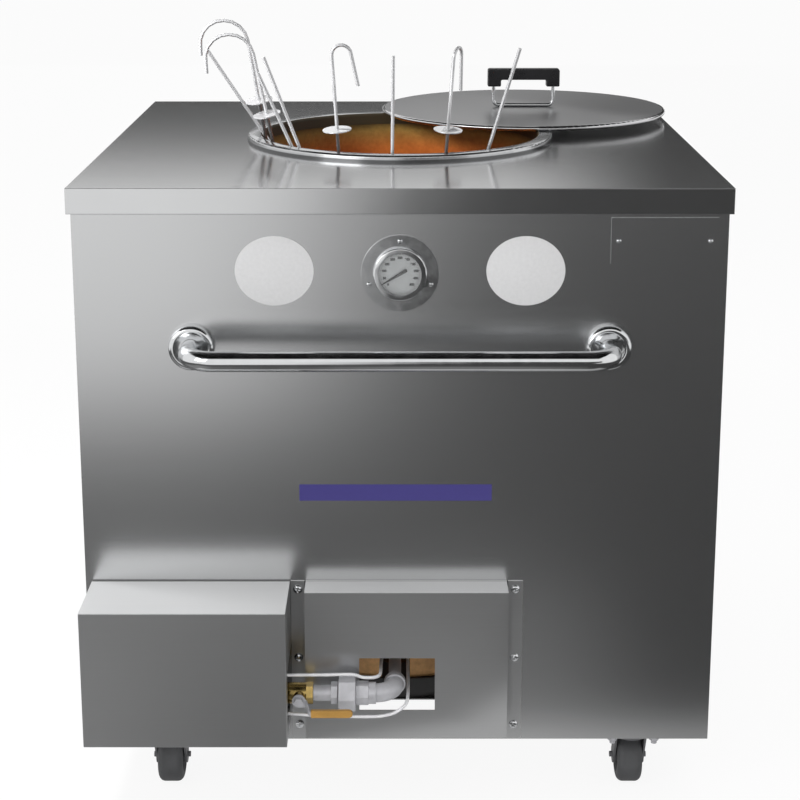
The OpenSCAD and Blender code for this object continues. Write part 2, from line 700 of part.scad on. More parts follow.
module pilot_tube() color([0.75, 0.75, 0.74]) tube(rounded(pilot_route), tube_r);
module thermocouple_lead() color([0.78, 0.78, 0.76]) tube(rounded(lead_route), tube_r);

// Elbow from the union round to the back, with a collar at each end
module gas_elbow() color([0.62, 0.63, 0.64]) {
    along_x(elbow_left, elbow_x0, collar_r);
    translate([elbow_x0, elbow_y1, gas_z]) rotate([0, 0, -90]) rotate_extrude(angle = 90)
        translate([elbow_bend_r, 0]) circle(r = elbow_r);
    front_hole(pipe_x, gas_z, collar_r, elbow_y1, collar_l);
}

module union_nut() color([0.55, 0.56, 0.57]) difference() {
    hex_x(union_left, union_end_left, union_nut_af);
    along_x(union_left - cut, union_end_left + cut, nipple_r + seat_gap);
}

// Nipples between regulator, safety valve, valve and union, and the union's end on the elbow
module gas_nipples() color([0.66, 0.67, 0.68]) {
    hex_x(union_end_left, elbow_left, union_end_af);
    along_x(union_end_left - union_nut_l + joint_in + seat_gap, union_end_left + cut, nipple_r);
    along_x(valve_right, union_left + joint_in, nipple_r);
    hex_x(union_left - 10, union_left - 1, nipple_hex_af);
    along_x(safety_right, valve_left, nipple_r);
    along_x(regulator_right, safety_left, nipple_r);
}

// Brass body with a bore for the plug, a passage and a gland for the stem
module valve_body() color([0.72, 0.58, 0.3]) difference() {
    union() {
        along_x(valve_left + valve_end_l, valve_right - valve_end_l, valve_r);
        hex_x(valve_left, valve_left + valve_end_l, valve_hex_af);
        hex_x(valve_right - valve_end_l, valve_right, valve_hex_af);
        front_hole(stem_x, gas_z, 8, gas_y - gland_reach, gland_reach);
    }
    along_x(valve_left - cut, valve_right + cut, passage_r);
    front_hole(stem_x, gas_z, plug_r + run_gap, gas_y - plug_r - seat_gap, 2 * (plug_r + seat_gap));
    front_hole(stem_x, gas_z, stem_r + run_gap, gas_y - gland_reach - cut, gland_reach + cut);
}
valve_end_l = 9;
valve_hex_af = 25;
nipple_hex_af = 26;
gland_reach = 20;
stem_nut_h = 5.5;
stem_reach = lever_root_reach + lever_t + stem_nut_h - 1;

// Round plug with a passage, stem and the nut that holds the lever
module valve_stem() color([0.75, 0.76, 0.77]) difference() {
    union() {
        front_hole(stem_x, gas_z, plug_r, gas_y - plug_r, 2 * plug_r);
        front_hole(stem_x, gas_z, stem_r, gas_y - stem_reach, stem_reach);
        translate([stem_x, gas_y - lever_root_reach - lever_t, gas_z]) rotate([90, 0, 0])
            cylinder(r = 6.5, h = stem_nut_h, $fn = 6);
    }
    along_x(stem_x - plug_r - cut, stem_x + plug_r + cut, passage_r);
}

// Lever bent forward past the stem, seen from above
module lever_strip(low, high) {
    lever_y0 = gas_y - lever_root_reach;
    lever_y1 = gas_y - lever_reach;
    translate([stem_x, 0, gas_z + low]) linear_extrude(height = high - low)
        polygon([[-lever_eye_r - 1, lever_y0], [lever_bend, lever_y0], [handle_from, lever_y1 + lever_t / 2],
            [lever_l, lever_y1 + lever_t / 2], [lever_l, lever_y1 - lever_t / 2],
            [handle_from - bend_slip, lever_y1 - lever_t / 2], [lever_bend - bend_slip, lever_y0 - lever_t],
            [-lever_eye_r - 1, lever_y0 - lever_t]]);
}
lever_eye_r = 9;
lever_bend = 11;
bend_slip = 1.5;
handle_from = lever_l - sleeve_l;
handle_top = lever_w / 2 - lever_drop;
handle_bottom = -lever_w / 2 - lever_drop;
// Seen from the front it has an eye round the stem and a lower handle
module valve_lever() color([0.7, 0.71, 0.72]) difference() {
    intersection() {
        lever_strip(handle_bottom - lever_eye_r, 2 * lever_eye_r);
        translate([stem_x, gas_y, gas_z]) rotate([90, 0, 0]) linear_extrude(height = lever_reach + lever_t) {
            circle(r = lever_eye_r);
            polygon([[0, lever_eye_r * 0.9], [handle_from, handle_top], [lever_l + cut, handle_top],
                [lever_l + cut, handle_bottom], [handle_from, handle_bottom], [0, -lever_eye_r * 0.9]]);
        }
    }
    front_hole(stem_x, gas_z, stem_r + run_gap, gas_y - lever_root_reach - lever_t - cut, lever_t + 2 * cut);
}

// Flat sleeve with a round end over the lever's handle
module lever_sleeve() color([0.62, 0.47, 0.2]) difference() {
    half_h = lever_w / 2 + sleeve_t;
    end = lever_l + sleeve_t - half_h;
    translate([stem_x, gas_y - lever_reach + lever_t / 2 + sleeve_t, gas_z - lever_drop]) rotate([90, 0, 0])
        linear_extrude(height = lever_t + 2 * sleeve_t) {
            translate([handle_from + 1, -half_h]) square([end - handle_from - 1, 2 * half_h]);
            translate([end, 0]) circle(r = half_h);
        }
    lever_strip(handle_bottom, handle_top);
}

// Folded sheet box, open to the panel, with a notch for the gas line and a hole under the button
module control_box_cover() color([0.56, 0.57, 0.58]) difference() {
    translate([box_left, box_front, box_bottom])
        cube([box_right - box_left, box_reach, box_top - box_bottom]);
    translate([box_left + sheet_t, box_front + sheet_t, box_bottom + sheet_t])
        cube([box_right - box_left - 2 * sheet_t, box_reach, box_top - box_bottom - 2 * sheet_t]);
    translate([box_right - 2 * sheet_t, box_notch_y, box_notch_bottom])
        cube([3 * sheet_t, box_reach, box_notch_top - box_notch_bottom]);
    translate([safety_x, gas_y, box_bottom - cut]) cylinder(r = 2 * button_r + 6, h = sheet_t + 2 * cut);
}

// Block with a round diaphragm cap above and a collar for the button below
module safety_valve() color([0.5, 0.51, 0.52]) difference() {
    union() {
        translate([safety_left, gas_y - safety_d / 2, gas_z - safety_h / 2])
            cube([safety_l, safety_d, safety_h]);
        translate([safety_x, gas_y, gas_z + safety_h / 2]) cylinder(r = 22, h = 20);
        translate([safety_x, gas_y, gas_z - safety_h / 2 - 6]) cylinder(r = button_r + 4, h = 7);
    }
    translate([safety_x, gas_y, gas_z - safety_h / 2 - 6 - cut])
        cylinder(r = button_r + run_gap, h = 6 + cut + button_reach + button_travel + 1);
}
button_travel = 6;

module reset_button() color([0.7, 0.1, 0.1]) translate([safety_x, gas_y, gas_z - safety_h / 2 - button_out])
    cylinder(r = button_r, h = button_out + button_reach);

// Body on the line, flat diaphragm housing and spring tower
module regulator() color([0.52, 0.53, 0.55]) {
    along_x(regulator_left, regulator_right, 15);
    translate([regulator_x, gas_y, gas_z]) cylinder(r = 20, h = 18);
    translate([regulator_x, gas_y, gas_z + inlet_r + 3]) cylinder(r = regulator_r, h = 18);
    translate([regulator_x, gas_y, gas_z + inlet_r + 19]) cylinder(r = 14, h = 36);
}

// Pipe from the back of the cabinet to the regulator, with a turned-down end and an elbow in the box
module inlet_pipe() color([0.35, 0.35, 0.36]) {
    front_hole(inlet_x, gas_z, inlet_r, gas_y, body_y + inlet_out - inlet_end_l - gas_y);
    front_hole(inlet_x, gas_z, inlet_r - 0.5, body_y, inlet_out);
    translate([inlet_x, gas_y, gas_z]) sphere(r = inlet_r + 2.5);
    along_x(inlet_x, regulator_left, inlet_r);
}

// Hat-shaped cover with a window and a flange down each side, open below
module burner_cover() color([0.45, 0.46, 0.47]) difference() {
    union() {
        translate([cover_left, -body_y - cover_reach, cover_bottom])
            cube([cover_right - cover_left, cover_reach, cover_top - cover_bottom]);
        translate([cover_left - flange_w, -body_y - sheet_t, base_top])
            cube([flange_w + sheet_t, sheet_t, cover_top - base_top]);
        translate([cover_right - sheet_t, -body_y - sheet_t, base_top])
            cube([flange_w + 2 * sheet_t, sheet_t, cover_top - base_top]);
    }
    translate([cover_left + sheet_t, -body_y - cover_reach + sheet_t, base_top - cut])
        cube([cover_right - cover_left - 2 * sheet_t, cover_reach, cover_top - sheet_t - base_top + cut]);
    translate([window_left, -body_y - cover_reach - cut, window_bottom])
        cube([window_right - window_left, 2 * cut + sheet_t, window_top - window_bottom]);
    screw_holes(cover_screws);
}

// Round case: its profile is drawn as radius and distance in front of the panel
module gauge_case() color([0.7, 0.71, 0.72]) translate([0, -body_y, gauge_z]) rotate([90, 0, 0]) {
    difference() {
        rotate_extrude() {
            translate([gauge_can_r - gauge_wall, 0])
                square([gauge_flange_r - gauge_can_r + gauge_wall, gauge_flange_t]);
            translate([gauge_can_r - gauge_wall, -gauge_can_h]) square([gauge_wall, gauge_can_h + cut]);
            translate([0, -gauge_can_h]) square([gauge_can_r, gauge_wall]);
            translate([gauge_dial_r + seat_gap, 0])
                square([gauge_bezel_r - gauge_dial_r - seat_gap, gauge_bezel_h - 2]);
            translate([gauge_dial_r - 2, gauge_bezel_h - gauge_wall])
                square([gauge_bezel_r - gauge_dial_r, gauge_wall]);
            translate([gauge_bezel_r - 2, gauge_bezel_h - 2]) circle(r = 2);
            translate([gauge_dial_r - 3, 0]) square([4, gauge_flange_t]);
        }
        for (a = gauge_screw_angles) rotate([0, 0, a]) translate([gauge_screw_circle_r, 0, -cut])
            cylinder(r = shank_r + hole_gap, h = gauge_flange_t + 2 * cut);
    }
    translate([0, 0, -gauge_can_h - probe_l]) cylinder(r = probe_r, h = probe_l + cut);
}
gauge_can_r = gauge_dial_r + gauge_wall;

module gauge_dial() color([0.86, 0.87, 0.87])
    translate([0, -body_y - gauge_flange_t, gauge_z]) rotate([90, 0, 0]) difference() {
        cylinder(r = gauge_dial_r, h = dial_t);
        translate([0, 0, -cut]) cylinder(r = pivot_r + run_gap, h = dial_t + 2 * cut);
    }
dial_t = 0.8;
pivot_r = 1;
needle_t = 0.8;
needle_lift = 1.5;
pivot_back = 6;

// Pointer, round tail and pivot in one piece
module gauge_needle() color([0.05, 0.05, 0.05])
    translate([0, -body_y - gauge_flange_t - dial_t - needle_lift, gauge_z]) rotate([90, 0, 0]) {
        rotate([0, 0, needle_angle]) linear_extrude(height = needle_t) {
            polygon([[0, -1.3], [needle_l, -0.3], [needle_l, 0.3], [0, 1.3]]);
            translate([-needle_tail_l, -0.7]) square([needle_tail_l, 1.4]);
            translate([-needle_tail_l * 0.75, 0]) circle(r = 2.2);
            circle(r = 2.6);
        }
        translate([0, 0, -needle_lift - dial_t - pivot_back])
            cylinder(r = pivot_r, h = needle_lift + dial_t + pivot_back + needle_t);
    }

module gauge_lens() color([0.85, 0.9, 0.92, 0.3])
    translate([0, -body_y - gauge_bezel_h + gauge_wall, gauge_z]) rotate([-90, 0, 0])
        cylinder(r = gauge_dial_r, h = lens_t);
lens_t = 1.8;

// Tube with two bends, ending at the panel inside the two rosettes that it is welded to
module towel_bar() color([0.85, 0.86, 0.87]) {
    bar_y = -body_y - bar_reach;
    corner_x = bar_w / 2 - bar_bend_r;
    corner_y = bar_y + bar_bend_r;
    translate([-corner_x, bar_y, bar_z]) rotate([0, 90, 0]) cylinder(r = bar_r, h = 2 * corner_x);
    for (s = [0, 1]) mirror([s, 0, 0]) {
        translate([corner_x, corner_y, bar_z]) rotate([0, 0, -90]) rotate_extrude(angle = 90)
            translate([bar_bend_r, 0]) circle(r = bar_r);
        front_hole(bar_w / 2, bar_z, bar_r, corner_y, -body_y - corner_y);
        rosette();
    }
}

module rosette()
    translate([bar_w / 2, -body_y, bar_z]) rotate([90, 0, 0]) rotate_extrude() {
        translate([bar_r + seat_gap, 0]) square([rosette_r - bar_r - seat_gap, rosette_h - rosette_round]);
        translate([bar_r + seat_gap, 0])
            square([rosette_r - rosette_round - bar_r - seat_gap, rosette_h - 1]);
        translate([rosette_r - rosette_round, rosette_h - rosette_round]) circle(r = rosette_round);
    }

module blank_plate() color([0.5, 0.51, 0.52]) difference() {
    translate([plate_x, -body_y - plate_t, plate_z]) cube([plate_w, plate_t, plate_h]);
    screw_holes(plate_screws);
}

// Domed heads with shanks through the panel
module panel_screws() color([0.78, 0.79, 0.8]) for (s = screws)
    translate([s[0], -body_y - s[3], s[1]]) rotate([90, 0, 0]) {
        translate([0, 0, -shank_l]) cylinder(r = shank_r, h = shank_l + cut);
        intersection() {
            cylinder(r = s[2], h = s[2]);
            translate([0, 0, -s[2] * 0.75]) sphere(r = s[2] * 1.25);
        }
    }

module lid_plate() color([0.55, 0.56, 0.57]) translate([lid_x, lid_y, 0]) rotate_extrude($fn = 96) {
    translate([0, lid_bottom]) square([lid_r - lid_rim_r, lid_t]);
    translate([lid_r - lid_rim_r, lid_top - lid_rim_r]) circle(r = lid_rim_r);
}

// Shallow dish welded under the lid, which carries it on the deck
module lid_pan() color([0.5, 0.51, 0.52]) translate([lid_x, lid_y, deck_top + seat_gap]) rotate_extrude() {
    square([lid_pan_r, sheet_t]);
    translate([lid_pan_r - sheet_t, 0]) square([sheet_t, lid_pan_h]);
}

// Wire bent into a U: its lower run is welded to the lid and its legs carry the grip
module lid_bail() color([0.8, 0.81, 0.82]) translate([lid_x, lid_y, lid_top + bail_r]) {
    run_x = bail_w / 2 - bail_bend_r;
    translate([-run_x, 0, 0]) rotate([0, 90, 0]) cylinder(r = bail_r, h = 2 * run_x, $fn = 32);
    for (s = [0, 1]) mirror([s, 0, 0]) {
        translate([run_x, 0, bail_bend_r]) rotate([90, 0, 0]) rotate([0, 0, -90]) rotate_extrude(angle = 90)
            translate([bail_bend_r, 0]) circle(r = bail_r, $fn = 32);
        translate([bail_w / 2, 0, bail_bend_r])
            cylinder(r = bail_r, h = grip_lift - bail_r - bail_bend_r, $fn = 32);
    }
}

module lid_grip() color([0.06, 0.06, 0.06]) translate([lid_x, lid_y + grip_d / 2, grip_bottom])
    rotate([90, 0, 0]) linear_extrude(height = grip_d) {
        grip_round = 4;
        translate([-grip_l / 2, grip_end_h - grip_bar_h]) square([grip_l, grip_bar_h - grip_round]);
        translate([-grip_l / 2 + grip_round, grip_end_h - grip_round])
            square([grip_l - 2 * grip_round, grip_round]);
        for (s = [-1, 1]) {
            translate([s * (grip_l - grip_end_l) / 2 - grip_end_l / 2, 0]) square([grip_end_l, grip_bar_h]);
            translate([s * (grip_l / 2 - grip_round), grip_end_h - grip_round]) circle(r = grip_round);
        }
    }

// Top plates with their bolts, swivel boss and king pin
module caster_plates() color([0.5, 0.51, 0.52]) for (x = [-1, 1]) for (y = [front_y, rear_y])
    translate([x * caster_w / 2, y, 0]) {
        translate([-caster_plate_w / 2, -caster_plate_w / 2, plate_bottom])
            cube([caster_plate_w, caster_plate_w, caster_plate_t]);
        four_corners(caster_plate_w / 2 - 7, caster_plate_w / 2 - 7) {
            translate([0, 0, plate_bottom - bolt_reach]) cylinder(r = 4, h = bolt_reach + cut);
            translate([0, 0, plate_bottom - 7]) cylinder(r = 7, h = 7 + cut, $fn = 6);
        }
        translate([0, 0, plate_bottom - boss_h]) cylinder(r = 22, h = boss_h + cut);
        translate([0, 0, fork_under - seat_gap - 1])
            cylinder(r = king_r, h = plate_bottom - fork_under + seat_gap + 1);
        translate([0, 0, fork_under - seat_gap - 3]) cylinder(r = 9, h = 3);
    }

// Swivel head, two legs and the axle, trailing to the back
module fork(x, y) color([0.2, 0.2, 0.21]) translate([x, y, 0]) {
    difference() {
        translate([0, 0, fork_under]) cylinder(r = fork_inner + fork_t + 1.5, h = head_h);
        translate([0, 0, fork_under - cut]) cylinder(r = king_r + run_gap, h = head_h + 2 * cut);
    }
    for (s = [0, 1]) mirror([s, 0, 0]) translate([fork_inner, 0, 0])
        rotate([90, 0, 90]) linear_extrude(height = fork_t) {
            polygon([[-15, fork_top - 1], [16, fork_top - 1], [caster_trail + 12, wheel_r],
                [caster_trail - 12, wheel_r]]);
            translate([caster_trail, wheel_r]) circle(r = 12);
        }
    translate([-fork_inner - fork_t - 4, caster_trail, wheel_r]) rotate([0, 90, 0])
        cylinder(r = axle_r, h = 2 * (fork_inner + fork_t + 4));
}

// Wheel with a rounded tread, a recessed web and a hub
module wheel(x, y) color([0.13, 0.13, 0.14])
    translate([x, y + caster_trail, wheel_r]) rotate([0, 90, 0]) rotate_extrude() {
        translate([axle_r + run_gap, -wheel_w / 2]) square([8, wheel_w]);
        translate([axle_r + run_gap, -tread_w / 4]) square([wheel_r - 8, tread_w / 2]);
        translate([wheel_r - tread_round - 4, -tread_w / 2]) square([4, tread_w]);
        translate([wheel_r - tread_round - 2, tread_round - tread_w / 2])
            square([tread_round + 2, tread_w - 2 * tread_round]);
        for (s = [-1, 1]) translate([wheel_r - tread_round, s * (tread_w / 2 - tread_round)])
            circle(r = tread_round);
    }

// A straight skewer from its tip in the pot to its end above the ring
module skewer(rod) color([0.8, 0.81, 0.82]) {
    tip = rod_at(rod, rod_tip - ring_top + rod_r * norm([rod[1], rod[2]]));
    top = rod_at(rod, rod[3]);
    v = top - tip;
    translate(tip) rotate([0, 0, atan2(v[1], v[0])]) rotate([0, acos(v[2] / norm(v)), 0])
        cylinder(r = rod_r, h = norm(v), $fn = 24);
}

// A hook: the same shaft, then a half circle and a short tip; a drip disc sits on the shaft
function hook_side(rod) = let (d = unit(rod_dir(rod)), s = unit(cross([0, 1, 0], d)), u = cross(d, s))
    s * cos(rod[6]) + u * sin(rod[6]);
function hook_path(rod) =
    let (tip = rod_at(rod, rod_tip - ring_top + rod_r * norm([rod[1], rod[2]])), top = rod_at(rod, rod[3]),
        d = unit(rod_dir(rod)), s = hook_side(rod), r = rod[4])
    concat([tip], [for (a = [0 : 20 : 180]) top + r * (s * (1 - cos(a)) + d * sin(a))],
        [top + 2 * r * s - d * rod[5] + s * rod[5] * 0.15]);
module hook(rod) color([0.8, 0.81, 0.82]) {
    tube(hook_path(rod), rod_r);
    d = unit(rod_dir(rod));
    translate(rod_at(rod, rod[7])) rotate([0, 0, atan2(d[1], d[0])]) rotate([0, acos(d[2]), 0])
        cylinder(r = disc_r, h = disc_t);
}

top_deck();
mouth_ring();
front_panel();
body_wrap();
base_pan();
frame_angles();
bay_liner();
clay_pot_foot();
clay_pot_belly();
clay_pot_neck();
insulation_fill();
pot_stand();
burner_ring();
burner_pipe();
heat_shield();
pilot_burner();
pilot_tube();
thermocouple_lead();
gas_elbow();
union_nut();
gas_nipples();
valve_body();
valve_stem();
valve_lever();
lever_sleeve();
control_box_cover();
safety_valve();
reset_button();
regulator();
inlet_pipe();
burner_cover();
gauge_case();
gauge_dial();
gauge_needle();
gauge_lens();
towel_bar();
blank_plate();
panel_screws();
lid_plate();
lid_pan();
lid_bail();
lid_grip();
caster_plates();
fork(-caster_w / 2, front_y);  // fork_front_left
fork(caster_w / 2, front_y);  // fork_front_right
fork(-caster_w / 2, rear_y);  // fork_rear_left
fork(caster_w / 2, rear_y);  // fork_rear_right
wheel(-caster_w / 2, front_y);  // wheel_front_left
wheel(caster_w / 2, front_y);  // wheel_front_right
wheel(-caster_w / 2, rear_y);  // wheel_rear_left
wheel(caster_w / 2, rear_y);  // wheel_rear_right
skewer(skewers[0]);  // skewer_1
skewer(skewers[1]);  // skewer_2
skewer(skewers[2]);  // skewer_3
skewer(skewers[3]);  // skewer_4
skewer(skewers[4]);  // skewer_5
hook(hooks[0]);  // hook_1
hook(hooks[1]);  // hook_2
hook(hooks[2]);  // hook_3
hook(hooks[3]);  // hook_4
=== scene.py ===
"""Dresses the gas tandoor oven: sheet steel with folded edges, a clay pot, the gas line, tools and a studio."""

import json
import math

import bmesh
import bpy
from mathutils import Matrix, Vector


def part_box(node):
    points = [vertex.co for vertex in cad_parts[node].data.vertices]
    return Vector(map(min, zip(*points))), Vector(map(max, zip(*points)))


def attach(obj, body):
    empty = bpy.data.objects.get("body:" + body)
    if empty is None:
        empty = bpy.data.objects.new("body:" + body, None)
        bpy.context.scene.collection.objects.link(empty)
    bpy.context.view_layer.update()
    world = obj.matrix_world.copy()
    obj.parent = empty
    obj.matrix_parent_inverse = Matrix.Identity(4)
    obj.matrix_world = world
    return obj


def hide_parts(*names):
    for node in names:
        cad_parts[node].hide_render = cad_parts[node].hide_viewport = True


bl_info = {
    "name": "Gas tandoor oven",
    "version": (1, 0, 0),
    "blender": (4, 5, 0),
    "location": "View3D > Sidebar > Tandoor",
    "description": "Dresses the packed tandoor oven and builds its studio",
    "category": "Object",
}

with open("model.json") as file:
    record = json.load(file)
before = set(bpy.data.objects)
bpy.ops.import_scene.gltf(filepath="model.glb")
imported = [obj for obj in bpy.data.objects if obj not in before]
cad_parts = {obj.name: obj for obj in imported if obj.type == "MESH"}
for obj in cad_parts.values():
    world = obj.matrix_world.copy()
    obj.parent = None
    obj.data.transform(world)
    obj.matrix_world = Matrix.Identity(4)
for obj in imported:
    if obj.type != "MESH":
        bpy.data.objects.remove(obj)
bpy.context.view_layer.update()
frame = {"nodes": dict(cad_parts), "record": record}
NODES = frame["nodes"]
BODY_OF = {node: body for body, nodes in frame["record"]["behaviour"]["bodies"].items() for node in nodes}
PANEL_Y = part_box("front_panel")[0].y
DECK_LOW, DECK_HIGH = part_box("top_deck")
HAT_FOLDS = (-0.128, 0.145)  # X of the burner cover's two folds at the panel
NEEDLE_ANGLE = math.radians(211)  # from +X towards +Z, as the CAD needle rests
SOOT_SHADE_OUTER, SOOT_SHADE_INNER = 0.2122, 0.2112  # radii between which the ring's polish ends in soot and painted shade
CLAY_LEVEL, SOOT_SHADE_LEVEL = 0.822, 0.882  # heights between which the clay turns from bare to soot and painted shade
PAINTED_LIGHT_LEVELS = (0.5, 0.35)  # heights between which painted light turns the clay pale by the burner
LABEL_PLACES = (("left", -0.164), ("right", 0.164))  # X of the two round labels
LABEL_Z, STRIPE_X, STRIPE_Z = 0.764, -0.006, 0.459
FLOOR_GLOW = 0.9  # share of plain white in the floor; the rest takes the shadow
FILM = 0.0003  # thickness of labels and stripe
DIAL_START, DIAL_SWEEP = math.radians(223), math.radians(266)  # first mark, and the turn to the last one
DIAL_MARKS, DIAL_STEP = 11, 50  # long marks and the numbers beside them
MARK_RADIUS, NUMBER_RADIUS = 0.0262, 0.0212
GAUGE_LOW, GAUGE_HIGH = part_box("gauge_dial")
GAUGE = Vector(((GAUGE_LOW.x + GAUGE_HIGH.x) / 2, GAUGE_LOW.y, (GAUGE_LOW.z + GAUGE_HIGH.z) / 2))


# Sizes and colours that a user would change


def colour(name, description, value):
    return bpy.props.FloatVectorProperty(
        name=name, description=description, subtype="COLOR", size=3, min=0, max=1, default=value
    )


def length(name, description, value):
    return bpy.props.FloatProperty(name=name, description=description, unit="LENGTH", min=0, default=value)


def level(name, description, value, most=1.0):
    return bpy.props.FloatProperty(name=name, description=description, min=0, max=most, default=value)


class OvenFinishes(bpy.types.PropertyGroup):
    sheet: colour("Sheet steel", "Colour of the brushed cabinet sheet", (0.64, 0.645, 0.65))
    sheet_roughness: level("Sheet roughness", "How blurred the cabinet's reflections are", 0.24)
    lid: colour("Lid steel", "Colour of the lid's sheet", (0.35, 0.35, 0.355))
    bright: colour("Bright steel", "Colour of polished bars, rings and screws", (0.72, 0.73, 0.74))
    rod: colour("Rod steel", "Colour of the skewers and hooks", (0.56, 0.56, 0.57))
    zinc: colour("Zinc", "Colour of the plated pipe fittings", (0.42, 0.42, 0.44))
    brass: colour("Brass", "Colour of the valve's body", (0.50, 0.36, 0.13))
    clay: colour("Clay", "Colour of the fired clay", (0.58, 0.17, 0.035))
    # painted light: a pale clay that stands in for light in the dark burner bay
    painted_light_clay: colour("Clay by the burner", "Colour of the clay near the pot's foot", (0.85, 0.48, 0.2))
    # soot and painted shade: the dark clay below the mouth
    scorch_and_shade: colour("Scorched clay", "Colour of the clay below the mouth", (0.30, 0.19, 0.05))
    # soot and painted shade: the darkest clay and steel at the mouth
    soot_and_shade: colour("Soot", "Colour of clay and steel at the mouth", (0.03, 0.022, 0.01))
    iron: colour("Iron", "Colour of raw and blackened iron", (0.035, 0.034, 0.034))
    sleeve: colour("Sleeve", "Colour of the lever's sleeve", (0.32, 0.17, 0.03))
    plastic: colour("Black plastic", "Colour of the lid's grip", (0.005, 0.005, 0.006))
    rubber: colour("Wheel", "Colour of the wheels", (0.055, 0.056, 0.059))
    fork: colour("Fork", "Colour of the casters' forks", (0.09, 0.09, 0.095))
    label: colour("Label", "Colour of the bare round labels", (0.56, 0.56, 0.565))
    stripe: colour("Stripe", "Colour of the bare stripe", (0.032, 0.024, 0.17))
    wool: colour("Wool", "Colour of the insulation", (0.55, 0.5, 0.38))
    dial: colour("Dial", "Colour of the thermometer's dial", (0.42, 0.425, 0.43))


class OvenSizes(bpy.types.PropertyGroup):
    fold: length("Fold radius", "Radius of the folded edges of deck and covers", 0.0012)
    label_radius: length("Label radius", "Radius of the two round labels", 0.0515)
    label_squash: level("Label height", "Height of a label as a share of its width", 0.9)
    stripe_width: length("Stripe width", "Length of the bare stripe", 0.258)
    stripe_height: length("Stripe height", "Height of the bare stripe", 0.023)
    tick_length: length("Tick length", "Length of the dial's marks", 0.0024)
    digit_height: length("Digit height", "Height of the dial's numbers", 0.0042)


class OvenStage(bpy.types.PropertyGroup):
    distance: length("Camera distance", "Distance from the deck's front edge to the camera", 2.232)
    height: length("Camera height", "Height of the camera above the floor", 1.277)
    tilt: bpy.props.FloatProperty(
        name="Camera tilt",
        description="How far the camera looks down",
        subtype="ANGLE",
        default=math.radians(13),
    )
    lens: bpy.props.FloatProperty(name="Lens", description="Focal length in millimetres", min=1, default=79.3)
    shift: bpy.props.FloatProperty(name="Shift", description="Upward shift of the frame", default=-0.158)
    sky: level("Sky", "Strength of the room's even light", 0.7, 5)
    key: level("Key light", "Power of the large light at the front left", 32, 500)
    fill: level("Fill light", "Power of the overhead light", 28, 500)
    front: level("Front light", "Power of the low front light that polished metal doesn't mirror", 10, 500)
    mouth: level("Mouth light", "Power of the light above the mouth, not mirrored either", 19, 500)
    bay: level("Bay light", "Power of the light at the burner bay, not mirrored either", 2, 500)


def finishes():
    return bpy.context.scene.oven_finishes


def sizes():
    return bpy.context.scene.oven_sizes


def studio():
    return bpy.context.scene.oven_stage


# Materials: each is built once, on the piece's own Object coordinates

MADE = {}

# Places of the colour sockets on a Mix node
MIX_FACTOR, MIX_A, MIX_B, MIX_RESULT = 0, 6, 7, 2


class Finish:
    """A material under construction: a Principled shader and short calls for the nodes that drive it."""

    def __init__(self, name, roughness=0.5, metallic=0.0, **sockets):
        self.material = bpy.data.materials.new(name)
        self.material.use_nodes = True
        self.tree = self.material.node_tree
        self.shader = self.tree.nodes["Principled BSDF"]
        self.shader.inputs["Roughness"].default_value = roughness
        self.shader.inputs["Metallic"].default_value = metallic
        for key, value in sockets.items():
            self.shader.inputs[key.replace("_", " ")].default_value = value
        self.place = self.tree.nodes.new("ShaderNodeTexCoord").outputs["Object"]

    def node(self, kind, **values):
        made = self.tree.nodes.new(kind)
        for key, value in values.items():
            setattr(made, key, value)
        return made

    def join(self, a, b):
        self.tree.links.new(a, b)

    def axes(self):
        """The Object coordinates apart: outputs X, Y and Z."""
        split = self.node("ShaderNodeSeparateXYZ")
        self.join(self.place, split.inputs["Vector"])
        return split.outputs

    def noise(self, scale, detail=3.0, roughness=0.55):
        """Noise between 0 and 1; scale is in features per metre along each axis."""
        mapping = self.node("ShaderNodeMapping")
        mapping.inputs["Scale"].default_value = scale if isinstance(scale, tuple) else (scale,) * 3
        texture = self.node("ShaderNodeTexNoise")
        texture.inputs["Scale"].default_value = 1.0
        texture.inputs["Detail"].default_value = detail
        texture.inputs["Roughness"].default_value = roughness
        self.join(self.place, mapping.inputs["Vector"])
        self.join(mapping.outputs["Vector"], texture.inputs["Vector"])
        return texture.outputs["Fac"]

    def spread(self, value, low, high, start=0.3, end=0.7):
        """The value between start and end, moved to low and high."""
        made = self.node("ShaderNodeMapRange")
        for key, number in (("From Min", start), ("From Max", end), ("To Min", low), ("To Max", high)):
            made.inputs[key].default_value = number
        self.join(value, made.inputs["Value"])
        return made.outputs["Result"]

    def tint(self, value, stops):
        """A colour ramp; stops are (position, colour)."""
        ramp = self.node("ShaderNodeValToRGB")
        while len(ramp.color_ramp.elements) < len(stops):
            ramp.color_ramp.elements.new(0.5)
        for element, (position, rgb) in zip(ramp.color_ramp.elements, stops):
            element.position = position
            element.color = (*rgb, 1)
        self.join(value, ramp.inputs["Fac"])
        return ramp.outputs["Color"]

    def colour(self, output):
        self.join(output, self.shader.inputs["Base Color"])

    def rough(self, output):
        self.join(output, self.shader.inputs["Roughness"])

    def bump(self, output, depth):
        made = self.node("ShaderNodeBump")
        made.inputs["Strength"].default_value = 1.0
        made.inputs["Distance"].default_value = depth
        self.join(output, made.inputs["Height"])
        if self.shader.inputs["Normal"].is_linked:
            self.join(self.shader.inputs["Normal"].links[0].from_socket, made.inputs["Normal"])
        self.join(made.outputs["Normal"], self.shader.inputs["Normal"])


def math_node(tree, operation, a, b=0.0):
    """A Math node whose inputs are outputs or plain numbers."""
    made = tree.nodes.new("ShaderNodeMath")
    made.operation = operation
    for socket, value in zip(made.inputs, (a, b)):
        if isinstance(value, (int, float)):
            socket.default_value = value
        else:
            tree.links.new(value, socket)
    return made.outputs[0]


def math_on(finish, operation, a, b=0.0):
    return math_node(finish.tree, operation, a, b)


